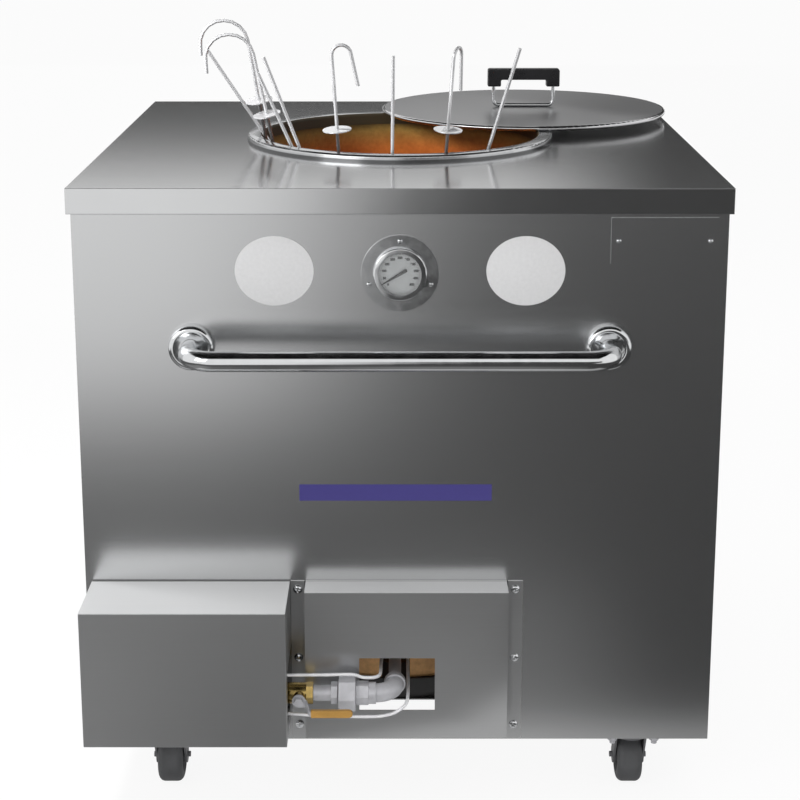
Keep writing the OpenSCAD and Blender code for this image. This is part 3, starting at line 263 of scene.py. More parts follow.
def eased(finish, value, start, end, low, high):
    """The value moved smoothly from low at start to high at end, and held there."""
    made = finish.node("ShaderNodeMapRange", interpolation_type="SMOOTHSTEP")
    for key, number in (("From Min", start), ("From Max", end), ("To Min", low), ("To Max", high)):
        made.inputs[key].default_value = number
    finish.join(value, made.inputs["Value"])
    return made.outputs["Result"]


def shade(rgb, factor):
    return tuple(min(1.0, channel * factor) for channel in rgb)


def brushed(name, rgb, roughness, grain, depth=0.0000015, streak=0.02, smudge=0.04):
    """Brushed sheet: fine streaks along the axes where grain is small, and faint wide smudges."""
    finish = Finish(name, roughness, 1.0)
    fine = finish.noise(grain, 4.0, 0.7)
    wide = finish.noise((2.2, 2.2, 3.0), 2.0)
    lines = finish.tint(fine, [(0.3, shade(rgb, 1 - streak)), (0.7, shade(rgb, 1 + streak))])
    cloud = finish.tint(wide, [(0.3, (1 - smudge,) * 3), (0.7, (1.0,) * 3)])
    finish.colour(mixed(finish, lines, cloud))
    finish.rough(finish.spread(fine, roughness - 0.01, roughness + 0.015))
    finish.bump(fine, depth)
    return finish.material


def cover_sheet(name):
    """Brushed steel of the two covers, dulled where it looks up. Returns the finish and its base colour."""
    rgb = shade(finishes().sheet, 0.95)
    rough = finishes().sheet_roughness + 0.06
    finish = Finish(name, rough, 1.0)
    fine = finish.noise((6.0, 1200.0, 1200.0), 4.0, 0.7)
    wide = finish.noise((2.2, 2.2, 3.0), 2.0)
    lines = finish.tint(fine, [(0.3, shade(rgb, 0.98)), (0.7, shade(rgb, 1.02))])
    up = finish.node("ShaderNodeSeparateXYZ")
    finish.join(finish.node("ShaderNodeNewGeometry").outputs["Normal"], up.inputs["Vector"])
    finish.join(eased(finish, up.outputs["Z"], 0.6, 0.95, 0.95, 0.5), finish.shader.inputs["Metallic"])
    finish.bump(fine, 0.0000015)
    cloud = finish.tint(wide, [(0.3, (0.96,) * 3), (0.7, (1.0,) * 3)])
    return finish, mixed(finish, lines, cloud)


def box_sheet():
    """The control box's steel, with painted shade in the seam along the front panel."""
    finish, steel = cover_sheet("box_sheet")
    # painted shade: the steel darkened to a quarter within 3.5 mm of the front panel
    seam_shade = eased(finish, finish.axes()["Y"], PANEL_Y - 0.0045, PANEL_Y - 0.0035, 1.0, 0.25)
    finish.colour(scaled(finish, steel, seam_shade))
    return finish.material


def hat_sheet():
    """The burner cover's steel, with painted shade in the seam along the panel and in its two folds."""
    finish, steel = cover_sheet("hat_sheet")
    at = finish.axes()
    # painted shade: a dark band just in front of the panel; the flange on the panel stays bright
    look = eased(finish, at["Y"], PANEL_Y - 0.0035, PANEL_Y - 0.0028, 1.0, 0.35)
    flange = eased(finish, at["Y"], PANEL_Y - 0.0022, PANEL_Y - 0.0018, 0.0, 1.0)
    look = math_on(finish, "MAXIMUM", look, flange)
    # painted shade: dark lines along the two folds beside the panel
    middle, half = sum(HAT_FOLDS) / 2, (HAT_FOLDS[1] - HAT_FOLDS[0]) / 2
    off = math_on(finish, "ABSOLUTE", math_on(finish, "SUBTRACT", at["X"], middle))
    crease = math_on(finish, "ABSOLUTE", math_on(finish, "SUBTRACT", off, half + 0.0009))
    look = math_on(finish, "MULTIPLY", look, eased(finish, crease, 0.0006, 0.001, 0.12, 1.0))
    finish.colour(scaled(finish, steel, look))
    return finish.material


def scaled(finish, rgb, factor):
    """A colour output darkened by a number output."""
    made = finish.node("ShaderNodeVectorMath", operation="SCALE")
    finish.join(rgb, made.inputs[0])
    finish.join(factor, made.inputs["Scale"])
    return made.outputs["Vector"]


def mixed(finish, a, b):
    """Two colour outputs multiplied."""
    made = finish.node("ShaderNodeMix", data_type="RGBA", blend_type="MULTIPLY")
    made.inputs[MIX_FACTOR].default_value = 1.0
    finish.join(a, made.inputs[MIX_A])
    finish.join(b, made.inputs[MIX_B])
    return made.outputs[MIX_RESULT]


def towards(finish, factor, a, rgb):
    """A colour output that turns into the colour rgb where the factor output is 1."""
    made = finish.node("ShaderNodeMix", data_type="RGBA")
    finish.join(factor, made.inputs[MIX_FACTOR])
    finish.join(a, made.inputs[MIX_A])
    made.inputs[MIX_B].default_value = (*rgb, 1)
    return made.outputs[MIX_RESULT]


def polished(name, rgb, roughness=0.1):
    finish = Finish(name, roughness, 1.0)
    haze = finish.noise(60.0, 3.0)
    finish.colour(finish.tint(haze, [(0.3, shade(rgb, 0.93)), (0.7, rgb)]))
    finish.rough(finish.spread(haze, roughness * 0.7, roughness * 1.5))
    finish.bump(finish.noise(900.0, 2.0), 0.000004)
    return finish.material


def plated(name, rgb, roughness=0.32, grit=700.0, depth=0.00005):
    """Dull plated or cast metal with a fine grit."""
    finish = Finish(name, roughness, 1.0)
    cloud = finish.noise(80.0, 4.0)
    finish.colour(finish.tint(cloud, [(0.3, shade(rgb, 0.72)), (0.7, shade(rgb, 1.12))]))
    finish.rough(finish.spread(cloud, roughness - 0.06, roughness + 0.1))
    finish.bump(finish.noise(grit, 3.0), depth)
    return finish.material


def moulded(name, rgb, roughness, grit=1400.0, depth=0.00004, wear=0.2):
    """Plastic, rubber or paint with a fine grain and a little dust."""
    finish = Finish(name, roughness, 0.0)
    cloud = finish.noise(35.0, 4.0)
    finish.colour(finish.tint(cloud, [(0.3, shade(rgb, 1 - wear)), (0.7, shade(rgb, 1 + wear))]))
    finish.rough(finish.spread(cloud, roughness - 0.05, roughness + 0.08))
    finish.bump(finish.noise(grit, 2.0), depth)
    return finish.material


def satin(name, rgb, roughness, metallic, cloud=0.03, grit=900.0, depth=0.00001):
    """Dull drawn or plated metal: partly matt, so that it stays light where it mirrors something dark."""
    finish = Finish(name, roughness, metallic)
    patch = finish.noise(60.0, 3.0)
    finish.colour(finish.tint(patch, [(0.3, shade(rgb, 1 - cloud)), (0.7, shade(rgb, 1 + cloud))]))
    finish.rough(finish.spread(patch, roughness - 0.02, roughness + 0.03))
    finish.bump(finish.noise(grit, 2.0), depth)
    return finish.material


def radius_from(finish, x, y):
    """Distance from the upright line through x, y."""
    at = finish.axes()
    squares = []
    for axis, middle in (("X", x), ("Y", y)):
        away = math_on(finish, "SUBTRACT", at[axis], middle)
        squares.append(math_on(finish, "MULTIPLY", away, away))
    return math_on(finish, "SQRT", math_on(finish, "ADD", *squares))


def sooted_shaded_ring():
    """The mouth's polished ring, with a painted contact shadow along its foot and an inner lip dark with soot
    and painted shade.
    """
    look = finishes()
    bright = shade(look.bright, 0.8)
    finish = Finish("ring_steel", 0.2, 1.0)
    haze = finish.noise(60.0, 3.0)
    steel = finish.tint(haze, [(0.3, shade(bright, 0.95)), (0.7, bright)])
    # painted contact shadow: the ring's foot darkened to a quarter just above the deck
    foot = DECK_HIGH.z + 0.0028
    steel = scaled(finish, steel, eased(finish, finish.axes()["Z"], foot, foot + 0.0015, 0.25, 1.0))
    # soot and painted shade: inside its lip the steel turns dark, matt and not metallic
    ragged = math_on(finish, "ADD", radius_from(finish, 0, 0), finish.spread(haze, -0.0004, 0.0004))
    soot_and_shade_mask = eased(finish, ragged, SOOT_SHADE_OUTER, SOOT_SHADE_INNER, 0.0, 1.0)
    finish.colour(towards(finish, soot_and_shade_mask, steel, shade(look.soot_and_shade, 0.8)))
    finish.rough(eased(finish, ragged, SOOT_SHADE_OUTER, SOOT_SHADE_INNER, 0.2, 0.65))
    finish.join(eased(finish, ragged, SOOT_SHADE_OUTER, SOOT_SHADE_INNER, 1.0, 0.0), finish.shader.inputs["Metallic"])
    return finish.material


def lid_sheet():
    """Round brushed lid whose rolled rim is polished bright."""
    look = finishes()
    low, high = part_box("lid_plate")
    middle, reach = (low + high) / 2, (high.x - low.x) / 2
    finish = Finish("lid_sheet", 0.33, 1.0)
    fine = finish.noise((4.0, 420.0, 4.0), 4.0, 0.7)
    wide = finish.noise((5.0, 5.0, 5.0), 2.0)
    lines = finish.tint(fine, [(0.3, shade(look.lid, 0.97)), (0.7, shade(look.lid, 1.03))])
    sheet = mixed(finish, lines, finish.tint(wide, [(0.3, (0.94,) * 3), (0.7, (1.0,) * 3)]))
    out = radius_from(finish, middle.x, middle.y)
    rim = eased(finish, out, reach - 0.006, reach - 0.003, 0.0, 1.0)
    finish.colour(towards(finish, rim, sheet, shade(look.lid, 1.8)))
    finish.rough(eased(finish, out, reach - 0.006, reach - 0.003, 0.33, 0.14))
    finish.bump(fine, 0.0000015)
    return finish.material


def fired_clay():
    """Terracotta, blotched by fire, darker and then black towards the mouth with soot and painted shade, and
    paler near the foot with painted light.
    """
    look = finishes()
    finish = Finish("fired_clay", 0.85)
    blotch = finish.noise(14.0, 5.0, 0.6)
    speck = finish.noise(160.0, 4.0)
    patches = finish.tint(blotch, [(0.3, (0.72, 0.7, 0.68)), (0.5, (0.95,) * 3), (0.72, (1.0,) * 3)])
    grain = finish.tint(speck, [(0.3, (0.8, 0.78, 0.75)), (0.7, (1.0,) * 3)])
    z = finish.axes()["Z"]
    # soot and painted shade: the clay darkens upwards to black below the mouth
    warped = math_on(finish, "ADD", math_on(finish, "MULTIPLY", blotch, 0.012), z)
    high = finish.spread(warped, 0.0, 1.0, CLAY_LEVEL, SOOT_SHADE_LEVEL)
    brown = tuple((a + b) / 2 for a, b in zip(look.clay, look.scorch_and_shade))
    stops = [(0.12, look.clay), (0.38, brown), (0.66, look.scorch_and_shade), (0.9, look.soot_and_shade)]
    # painted light: the clay turns pale downwards from 0.5 m to 0.35 m, in the dark burner bay
    painted_light_clay = towards(finish, eased(finish, z, *PAINTED_LIGHT_LEVELS, 0.0, 1.0), finish.tint(high, stops), look.painted_light_clay)
    finish.colour(mixed(finish, mixed(finish, painted_light_clay, patches), grain))
    finish.bump(finish.noise(30.0, 4.0), 0.0015)
    finish.bump(speck, 0.0006)
    return finish.material


def heat_tint():
    """Steel blued and browned by the flame."""
    finish = Finish("heat_tinted_steel", 0.45, 1.0)
    cloud = finish.noise(9.0, 4.0)
    stops = [(0.3, (0.05, 0.045, 0.05)), (0.5, (0.12, 0.085, 0.06)), (0.7, (0.09, 0.09, 0.13))]
    finish.colour(finish.tint(cloud, stops))
    finish.rough(finish.spread(cloud, 0.35, 0.6))
    finish.bump(finish.noise(300.0, 3.0), 0.0001)
    return finish.material


def mineral_wool():
    finish = Finish("mineral_wool", 0.95)
    lay = finish.noise((40.0, 40.0, 140.0), 5.0, 0.7)
    wool = finishes().wool
    finish.colour(finish.tint(lay, [(0.3, shade(wool, 0.7)), (0.7, shade(wool, 1.15))]))
    finish.bump(lay, 0.004)
    return finish.material


def clear_glass():
    finish = Finish("gauge_glass", 0.02, 0.0, IOR=1.45, Transmission_Weight=1.0)
    finish.shader.inputs["Base Color"].default_value = (0.97, 0.98, 0.98, 1)
    return finish.material


def printed(name, rgb, roughness=0.5):
    """Thin vinyl or print with a faint mottling."""
    finish = Finish(name, roughness, 0.0)
    cloud = finish.noise(220.0, 2.0)
    finish.colour(finish.tint(cloud, [(0.3, shade(rgb, 0.96)), (0.7, shade(rgb, 1.02))]))
    finish.bump(cloud, 0.00001)
    return finish.material


def finish_named(name):
    """The material of that name, made on first use."""
    if name in MADE:
        return MADE[name]
    look = finishes()
    level_grain, deck_grain = (6.0, 6.0, 1500.0), (6.0, 1500.0, 6.0)
    rough = look.sheet_roughness
    makers = {
        "upright_sheet": lambda: brushed("upright_sheet", look.sheet, rough, level_grain),
        "deck_sheet": lambda: brushed("deck_sheet", look.sheet, 0.15, deck_grain),
        "box_sheet": box_sheet,
        "hat_sheet": hat_sheet,
        "lid_sheet": lid_sheet,
        "bright_steel": lambda: polished("bright_steel", look.bright, 0.11),
        "ring_steel": sooted_shaded_ring,
        "rod_steel": lambda: satin("rod_steel", look.rod, 0.25, 0.6, depth=0.000001),
        # painted light: the rod colour lightened by 35 % for the thin tubes in the dark burner bay
        "soft_tube": lambda: satin("soft_tube", shade(look.rod, 1.35), 0.35, 0.4),
        "zinc_plate": lambda: satin("zinc_plate", look.zinc, 0.45, 0.4, 0.1, 500.0, 0.00004),
        "die_cast": lambda: plated("die_cast", shade(look.zinc, 0.9), 0.42, 450.0, 0.0001),
        "brass": lambda: plated("brass", look.brass, 0.2, 900.0, 0.00001),
        "raw_iron": lambda: plated("raw_iron", look.iron, 0.55, 300.0, 0.0003),
        "frame_paint": lambda: moulded("frame_paint", look.iron, 0.5),
        "sleeve_vinyl": lambda: moulded("sleeve_vinyl", look.sleeve, 0.35, 500.0, 0.00006),
        "grip_plastic": lambda: moulded("grip_plastic", look.plastic, 0.28),
        "wheel_rubber": lambda: moulded("wheel_rubber", look.rubber, 0.55),
        "fork_paint": lambda: moulded("fork_paint", look.fork, 0.42),
        "button_plastic": lambda: moulded("button_plastic", (0.45, 0.02, 0.015), 0.4),
        "needle_paint": lambda: moulded("needle_paint", (0.006, 0.006, 0.006), 0.4),
        "dial_print": lambda: printed("dial_print", look.dial, 0.55),
        "dial_ink": lambda: printed("dial_ink", (0.02, 0.02, 0.02), 0.5),
        "label_vinyl": lambda: printed("label_vinyl", look.label, 0.55),
        "stripe_vinyl": lambda: printed("stripe_vinyl", look.stripe, 0.5),
        "fired_clay": fired_clay,
        "heat_tinted_steel": heat_tint,
        "mineral_wool": mineral_wool,
        "gauge_glass": clear_glass,
    }
    MADE[name] = makers[name]()
    return MADE[name]


# Meshes


def evaluated(obj):
    """A new mesh object with the modifiers of obj applied; obj is removed."""
    bpy.context.view_layer.update()
    graph = bpy.context.evaluated_depsgraph_get()
    mesh = bpy.data.meshes.new_from_object(obj.evaluated_get(graph), depsgraph=graph)
    name = obj.name
    bpy.data.objects.remove(obj)
    mesh.name = name
    made = bpy.data.objects.new(name, mesh)
    bpy.context.scene.collection.objects.link(made)
    return made


def new_object(name, mesh):
    made = bpy.data.objects.new(name, mesh)
    bpy.context.scene.collection.objects.link(made)
    return made


def from_bmesh(name, shape, sharp=35.0):
    mesh = bpy.data.meshes.new(name)
    shape.to_mesh(mesh)
    shape.free()
    smooth(mesh, sharp)
    return new_object(name, mesh)


def smooth(mesh, sharp=35.0):
    mesh.polygons.foreach_set("use_smooth", [True] * len(mesh.polygons))
    mesh.set_sharp_from_angle(angle=math.radians(sharp))


def settle(obj, body, finish, replaced=()):
    """Gives a finished piece its material and body, and hides the CAD nodes that it replaces."""
    obj.data.materials.clear()
    obj.data.materials.append(finish_named(finish))
    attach(obj, body)
    if replaced:
        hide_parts(*replaced)
    return obj


def softened(node, finish, width=0.0, segments=2, sharp=35.0):
    """A CAD node's own form with merged faces, rounded edges and smooth shading."""
    shape = bmesh.new()
    shape.from_mesh(NODES[node].data)
    bmesh.ops.remove_doubles(shape, verts=shape.verts, dist=1e-6)
    flat = {"angle_limit": math.radians(0.6), "use_dissolve_boundaries": False}
    bmesh.ops.dissolve_limit(shape, verts=shape.verts, edges=shape.edges, **flat)
    obj = from_bmesh(node + "_dressed", shape, sharp)
    if width:
        bevel = obj.modifiers.new("rounded edges", "BEVEL")
        bevel.width = width
        bevel.segments = segments
        bevel.limit_method = "ANGLE"
        bevel.angle_limit = math.radians(sharp)
        bevel.harden_normals = True
        obj = evaluated(obj)
    return settle(obj, BODY_OF[node], finish, (node,))


def lathe(name, profile, at, axis="Z", steps=96, sharp=35.0):
    """Turns an outline of (radius, height) points round an axis through at; the outline closes on itself."""
    shape = bmesh.new()
    rings = []
    for i in range(steps):
        a = 2 * math.pi * i / steps
        rings.append([shape.verts.new((r * math.cos(a), r * math.sin(a), h)) for r, h in profile])
    count = len(profile)
    for i in range(steps):
        near, far = rings[i], rings[(i + 1) % steps]
        for k in range(count):
            shape.faces.new((near[k], far[k], far[(k + 1) % count], near[(k + 1) % count]))
    bmesh.ops.remove_doubles(shape, verts=shape.verts, dist=1e-7)
    turn = {"Z": Matrix(), "-Y": Matrix.Rotation(math.pi / 2, 4, "X")}[axis]
    shape.transform(Matrix.Translation(at) @ turn)
    bmesh.ops.recalc_face_normals(shape, faces=shape.faces)
    return from_bmesh(name, shape, sharp)


def joined(name, objs):
    """Several fresh mesh objects as one."""
    shape = bmesh.new()
    for obj in objs:
        shape.from_mesh(obj.data)
        bpy.data.objects.remove(obj)
    return from_bmesh(name, shape)


# Geometry Nodes trees for what repeats


def new_tree(name, sockets):
    tree = bpy.data.node_groups.new(name, "GeometryNodeTree")
    tree.interface.new_socket("Geometry", in_out="INPUT", socket_type="NodeSocketGeometry")
    for label, kind, value in sockets:
        socket = tree.interface.new_socket(label, in_out="INPUT", socket_type="NodeSocket" + kind)
        if value is not None:
            socket.default_value = value
    tree.interface.new_socket("Geometry", in_out="OUTPUT", socket_type="NodeSocketGeometry")
    return tree, tree.nodes.new("NodeGroupInput"), tree.nodes.new("NodeGroupOutput")


def finish_tree(tree, instances, given, out):
    """Realises the instances and sets their material."""
    real = tree.nodes.new("GeometryNodeRealizeInstances")
    paint = tree.nodes.new("GeometryNodeSetMaterial")
    tree.links.new(instances, real.inputs["Geometry"])
    tree.links.new(real.outputs["Geometry"], paint.inputs["Geometry"])
    tree.links.new(given.outputs["Finish"], paint.inputs["Material"])
    tree.links.new(paint.outputs["Geometry"], out.inputs["Geometry"])
    return tree


def stamp_tree():
    """Sets a template at each vertex, each turned a little further about its own axis."""
    sockets = [("Template", "Object", None), ("Finish", "Material", None), ("Facing", "Vector", (0, 0, 0))]
    tree, given, out = new_tree("stamp_at_points", sockets + [("Turn", "Float", 0.7)])
    info = tree.nodes.new("GeometryNodeObjectInfo")
    place = tree.nodes.new("GeometryNodeInstanceOnPoints")
    spin = tree.nodes.new("GeometryNodeRotateInstances")
    step = tree.nodes.new("ShaderNodeCombineXYZ")
    index = tree.nodes.new("GeometryNodeInputIndex")
    tree.links.new(given.outputs["Template"], info.inputs["Object"])
    tree.links.new(given.outputs["Geometry"], place.inputs["Points"])
    tree.links.new(info.outputs["Geometry"], place.inputs["Instance"])
    tree.links.new(given.outputs["Facing"], place.inputs["Rotation"])
    tree.links.new(math_node(tree, "MULTIPLY", index.outputs[0], given.outputs["Turn"]), step.inputs["Z"])
    tree.links.new(place.outputs["Instances"], spin.inputs["Instances"])
    tree.links.new(step.outputs["Vector"], spin.inputs["Rotation"])
    return finish_tree(tree, spin.outputs["Instances"], given, out)


def tick_tree():
    """Bars round an arc in the plane of the dial."""
    tree, given, out = new_tree(
        "ticks_round_dial",
        [
            ("Finish", "Material", None),
            ("Count", "Int", 11),
            ("Radius", "Float", 0.02),
            ("Length", "Float", 0.003),
            ("Width", "Float", 0.0005),
            ("Start", "Float", 0.0),
            ("Sweep", "Float", 1.0),
        ],
    )
    line = tree.nodes.new("GeometryNodeMeshLine")
    bar = tree.nodes.new("GeometryNodeMeshCube")
    size = tree.nodes.new("ShaderNodeCombineXYZ")
    place = tree.nodes.new("GeometryNodeInstanceOnPoints")
    move = tree.nodes.new("GeometryNodeSetPosition")
    at = tree.nodes.new("ShaderNodeCombineXYZ")
    turn = tree.nodes.new("ShaderNodeCombineXYZ")
    index = tree.nodes.new("GeometryNodeInputIndex")
    tree.links.new(given.outputs["Count"], line.inputs["Count"])
    last = math_node(tree, "SUBTRACT", given.outputs["Count"], 1)
    share = math_node(tree, "DIVIDE", index.outputs[0], last)
    angle = math_node(
        tree, "SUBTRACT", given.outputs["Start"], math_node(tree, "MULTIPLY", share, given.outputs["Sweep"])
    )
    for operation, axis in (("COSINE", "X"), ("SINE", "Z")):
        part = math_node(tree, operation, angle)
        tree.links.new(math_node(tree, "MULTIPLY", part, given.outputs["Radius"]), at.inputs[axis])
    tree.links.new(math_node(tree, "MULTIPLY", angle, -1), turn.inputs["Y"])
    tree.links.new(given.outputs["Length"], size.inputs["X"])
    size.inputs["Y"].default_value = 0.00015
    tree.links.new(given.outputs["Width"], size.inputs["Z"])
    tree.links.new(size.outputs["Vector"], bar.inputs["Size"])
    tree.links.new(line.outputs["Mesh"], move.inputs["Geometry"])
    tree.links.new(at.outputs["Vector"], move.inputs["Position"])
    tree.links.new(move.outputs["Geometry"], place.inputs["Points"])
    tree.links.new(bar.outputs["Mesh"], place.inputs["Instance"])
    tree.links.new(turn.outputs["Vector"], place.inputs["Rotation"])
    return finish_tree(tree, place.outputs["Instances"], given, out)


TREES = {}


def grown(name, maker, points=None, at=(0, 0, 0), **inputs):
    """Runs a tree on a cloud of points and returns the result as a plain mesh object, moved by at."""
    if maker not in TREES:
        TREES[maker] = maker()
    tree = TREES[maker]
    mesh = bpy.data.meshes.new(name)
    mesh.from_pydata([tuple(p) for p in points or [(0, 0, 0)]], [], [])
    obj = new_object(name, mesh)
    modifier = obj.modifiers.new("pattern", "NODES")
    modifier.node_group = tree
    keys = {item.name: item.identifier for item in tree.interface.items_tree if item.in_out == "INPUT"}
    for label, value in inputs.items():
        modifier[keys[label]] = value
    obj = evaluated(obj)
    obj.data.transform(Matrix.Translation(at))
    smooth(obj.data)
    return obj


# Pieces


def pan_head(name, radius):
    """A domed head with a cross recess, looking up +Z."""
    top = radius * 0.62
    dome = [(radius * math.cos(a), top * math.sin(a)) for a in (0.0, 0.35, 0.7, 1.05, 1.35)]
    head = lathe(name, [(0, -0.0002), (radius, -0.0002)] + dome + [(0, top)], (0, 0, 0), steps=20)
    cutter = bmesh.new()
    for turn in (0, math.pi / 2):
        made = bmesh.ops.create_cube(cutter, size=1.0)
        spread = Matrix.Diagonal((radius * 1.15, radius * 0.26, radius * 0.7, 1))
        shift = Matrix.Translation((0, 0, top)) @ Matrix.Rotation(turn, 4, "Z")
        bmesh.ops.transform(cutter, matrix=shift @ spread, verts=made["verts"])
    cross = from_bmesh(name + "_recess", cutter)
    slot = head.modifiers.new("recess", "BOOLEAN")
    slot.operation = "DIFFERENCE"
    slot.solver = "EXACT"
    slot.use_self = True
    slot.object = cross
    head = evaluated(head)
    bpy.data.objects.remove(cross)
    return head


GAUGE_SCREWS = [math.radians(a) for a in (90, 200, 340)]
# Head radius, how far the seat stands off the panel, and X and Z of each screw
SCREWS = {
    "cover": (0.0064, 0.0015, [(x, z) for x in (-0.13875, 0.15675) for z in (0.121, 0.221, 0.321)]),
    "plate": (0.0034, 0.0015, [(0.284, 0.804), (0.403, 0.804)]),
    "gauge": (0.0034, 0.002, [(0.043 * math.cos(a), 0.761 + 0.043 * math.sin(a)) for a in GAUGE_SCREWS]),
}


class OVEN_OT_cabinet(bpy.types.Operator):
    """Deck, panels, base and frame in folded sheet"""

    bl_idname = "oven.cabinet"
    bl_label = "Cabinet"

    def execute(self, context):
        fold = sizes().fold
        softened("top_deck", "deck_sheet", fold * 1.6, 3)
        softened("front_panel", "upright_sheet", 0.0004, 1)
        softened("body_wrap", "upright_sheet", 0.0006, 2)
        softened("base_pan", "upright_sheet", 0.0004, 1)
        softened("frame_angles", "frame_paint", 0.0005, 1)
        softened("bay_liner", "heat_tinted_steel", 0.0003, 1)
        softened("mouth_ring", "ring_steel")
        softened("blank_plate", "upright_sheet", 0.0004, 2)
        return {"FINISHED"}


class OVEN_OT_pot(bpy.types.Operator):
    """Clay pot, its stand and the insulation"""

    bl_idname = "oven.pot"
    bl_label = "Clay pot"

    def execute(self, context):
        for course in ("belly", "foot", "neck"):
            softened("clay_pot_" + course, "fired_clay")
        softened("pot_stand", "frame_paint", 0.0006, 1)
        softened("insulation_fill", "mineral_wool", 0.004, 2)
        return {"FINISHED"}


class OVEN_OT_burner(bpy.types.Operator):
    """Ring burner, heat shield, pilot and the two thin tubes"""

    bl_idname = "oven.burner"
    bl_label = "Burner"

    def execute(self, context):
        softened("burner_ring", "raw_iron", 0.0012, 2)
        softened("heat_shield", "heat_tinted_steel", 0.001, 2)
        softened("pilot_burner", "brass", 0.0006, 2)
        softened("burner_pipe", "zinc_plate")
        softened("pilot_tube", "soft_tube", sharp=60)
        softened("thermocouple_lead", "soft_tube", sharp=60)
        return {"FINISHED"}


class OVEN_OT_gas_line(bpy.types.Operator):
    """Elbow, union, nipples, valve with its lever, regulator and inlet"""

    bl_idname = "oven.gas_line"
    bl_label = "Gas line"

    def execute(self, context):
        softened("gas_elbow", "zinc_plate", 0.0014, 3)
        softened("union_nut", "zinc_plate", 0.0016, 2)
        softened("gas_nipples", "zinc_plate", 0.0008, 2)
        softened("valve_body", "brass", 0.0008, 2)
        softened("valve_stem", "zinc_plate", 0.0006, 2)
        softened("valve_lever", "zinc_plate", 0.0005, 2)
        softened("lever_sleeve", "sleeve_vinyl", 0.0018, 3)
        softened("safety_valve", "die_cast", 0.0018, 3)
        softened("reset_button", "button_plastic", 0.0012, 3)
        softened("regulator", "die_cast", 0.0018, 3)
        softened("inlet_pipe", "raw_iron", 0.001, 2)
        return {"FINISHED"}


class OVEN_OT_covers(bpy.types.Operator):
    """Box over the controls and hat-shaped burner cover"""

    bl_idname = "oven.covers"
    bl_label = "Covers"

    def execute(self, context):
        softened("control_box_cover", "box_sheet", sizes().fold, 3)
        softened("burner_cover", "hat_sheet", sizes().fold * 0.5, 3)
        return {"FINISHED"}


class OVEN_OT_screws(bpy.types.Operator):
    """Cross-head screws of the covers, the plate and the thermometer"""

    bl_idname = "oven.screws"
    bl_label = "Screws"

    def execute(self, context):
        rows = []
        for name, (radius, seat, places) in SCREWS.items():
            head = pan_head("head_of_" + name, radius)
            points = [(x, PANEL_Y - seat, z) for x, z in places]
            pose = {"Facing": (math.pi / 2, 0, 0), "Turn": 0.7}
            steel = finish_named("bright_steel")
            rows.append(grown(name + "_screws", stamp_tree, points, Template=head, Finish=steel, **pose))
            bpy.data.objects.remove(head)
        heads = joined("screw_heads", rows)
        settle(heads, "cabinet", "bright_steel", ("panel_screws",))
        return {"FINISHED"}


class OVEN_OT_gauge(bpy.types.Operator):
    """Thermometer with marks, numbers, needle and glass"""

    bl_idname = "oven.gauge"
    bl_label = "Thermometer"

    def execute(self, context):
        size = sizes()
        softened("gauge_case", "bright_steel", 0.0006, 2)
        softened("gauge_dial", "dial_print", 0.0002, 1)
        self.needle()
        softened("gauge_lens", "gauge_glass", 0.0004, 2)
        front = GAUGE - Vector((0, 0.0002, 0))
        marks = (("major", DIAL_MARKS, 0.6 * size.tick_length, 0.0007), ("minor", 51, 0.0012, 0.0002))
        rows = []
        for label, count, reach, wide in marks:
            turn = {"Start": DIAL_START, "Sweep": DIAL_SWEEP, "Finish": finish_named("dial_ink")}
            bar = {"Count": count, "Radius": MARK_RADIUS - reach / 2, "Length": reach, "Width": wide}
            rows.append(grown(label + "_ticks", tick_tree, at=front, **turn, **bar))
        for i in range(DIAL_MARKS):
            text = bpy.data.curves.new("number", "FONT")
            text.body = str(i * DIAL_STEP)
            text.size = size.digit_height
            text.align_x = text.align_y = "CENTER"
            text.extrude = 0.00005
            text.offset = 0.00035
            angle = DIAL_START - DIAL_SWEEP * i / (DIAL_MARKS - 1)
            number = evaluated(new_object("number_%02d" % i, text))
            place = front + NUMBER_RADIUS * Vector((math.cos(angle), 0, math.sin(angle)))
            number.data.transform(Matrix.Translation(place) @ Matrix.Rotation(math.pi / 2, 4, "X"))
            rows.append(number)
        settle(joined("dial_marks", rows), "cabinet", "dial_ink")
        return {"FINISHED"}

    def needle(self):
        """Black wedge that narrows from its tail to its point, on a small hub."""
        low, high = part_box("gauge_needle")
        shape = bmesh.new()
        turn = Matrix.Translation((GAUGE.x, 0, GAUGE.z)) @ Matrix.Rotation(-NEEDLE_ANGLE, 4, "Y")
        upper = [(-0.0105, 0.0021), (-0.0085, 0.0024), (0.0275, 0.0007)]
        outline = upper + [(x, -z) for x, z in reversed(upper)]
        thick = (low.y, low.y + 0.0006)
        near, far = ([shape.verts.new(turn @ Vector((x, y, z))) for x, z in outline] for y in thick)
        shape.faces.new(near)
        shape.faces.new(far[::-1])
        for k in range(len(outline)):
            shape.faces.new((near[k], far[k], far[(k + 1) % len(outline)], near[(k + 1) % len(outline)]))
        bmesh.ops.recalc_face_normals(shape, faces=shape.faces)
        bmesh.ops.bevel(shape, geom=shape.edges[:], offset=0.00012, segments=1, affect="EDGES")
        blade = from_bmesh("needle_blade", shape)
        reach = (high.y - low.y) / 2 - 0.0001
        profile = [(0, -reach), (0.0018, -reach), (0.0021, 0), (0.0018, reach), (0, reach)]
        hub = lathe("needle_hub", profile, (GAUGE.x, (low.y + high.y) / 2, GAUGE.z), "-Y", 32)
        wedge = joined("needle_wedge", [blade, hub])
        settle(wedge, "needle", "needle_paint", ("gauge_needle",))


class OVEN_OT_towel_bar(bpy.types.Operator):
    """Polished bar with its rosettes"""

    bl_idname = "oven.towel_bar"
    bl_label = "Towel bar"

    def execute(self, context):
        softened("towel_bar", "bright_steel")
        return {"FINISHED"}


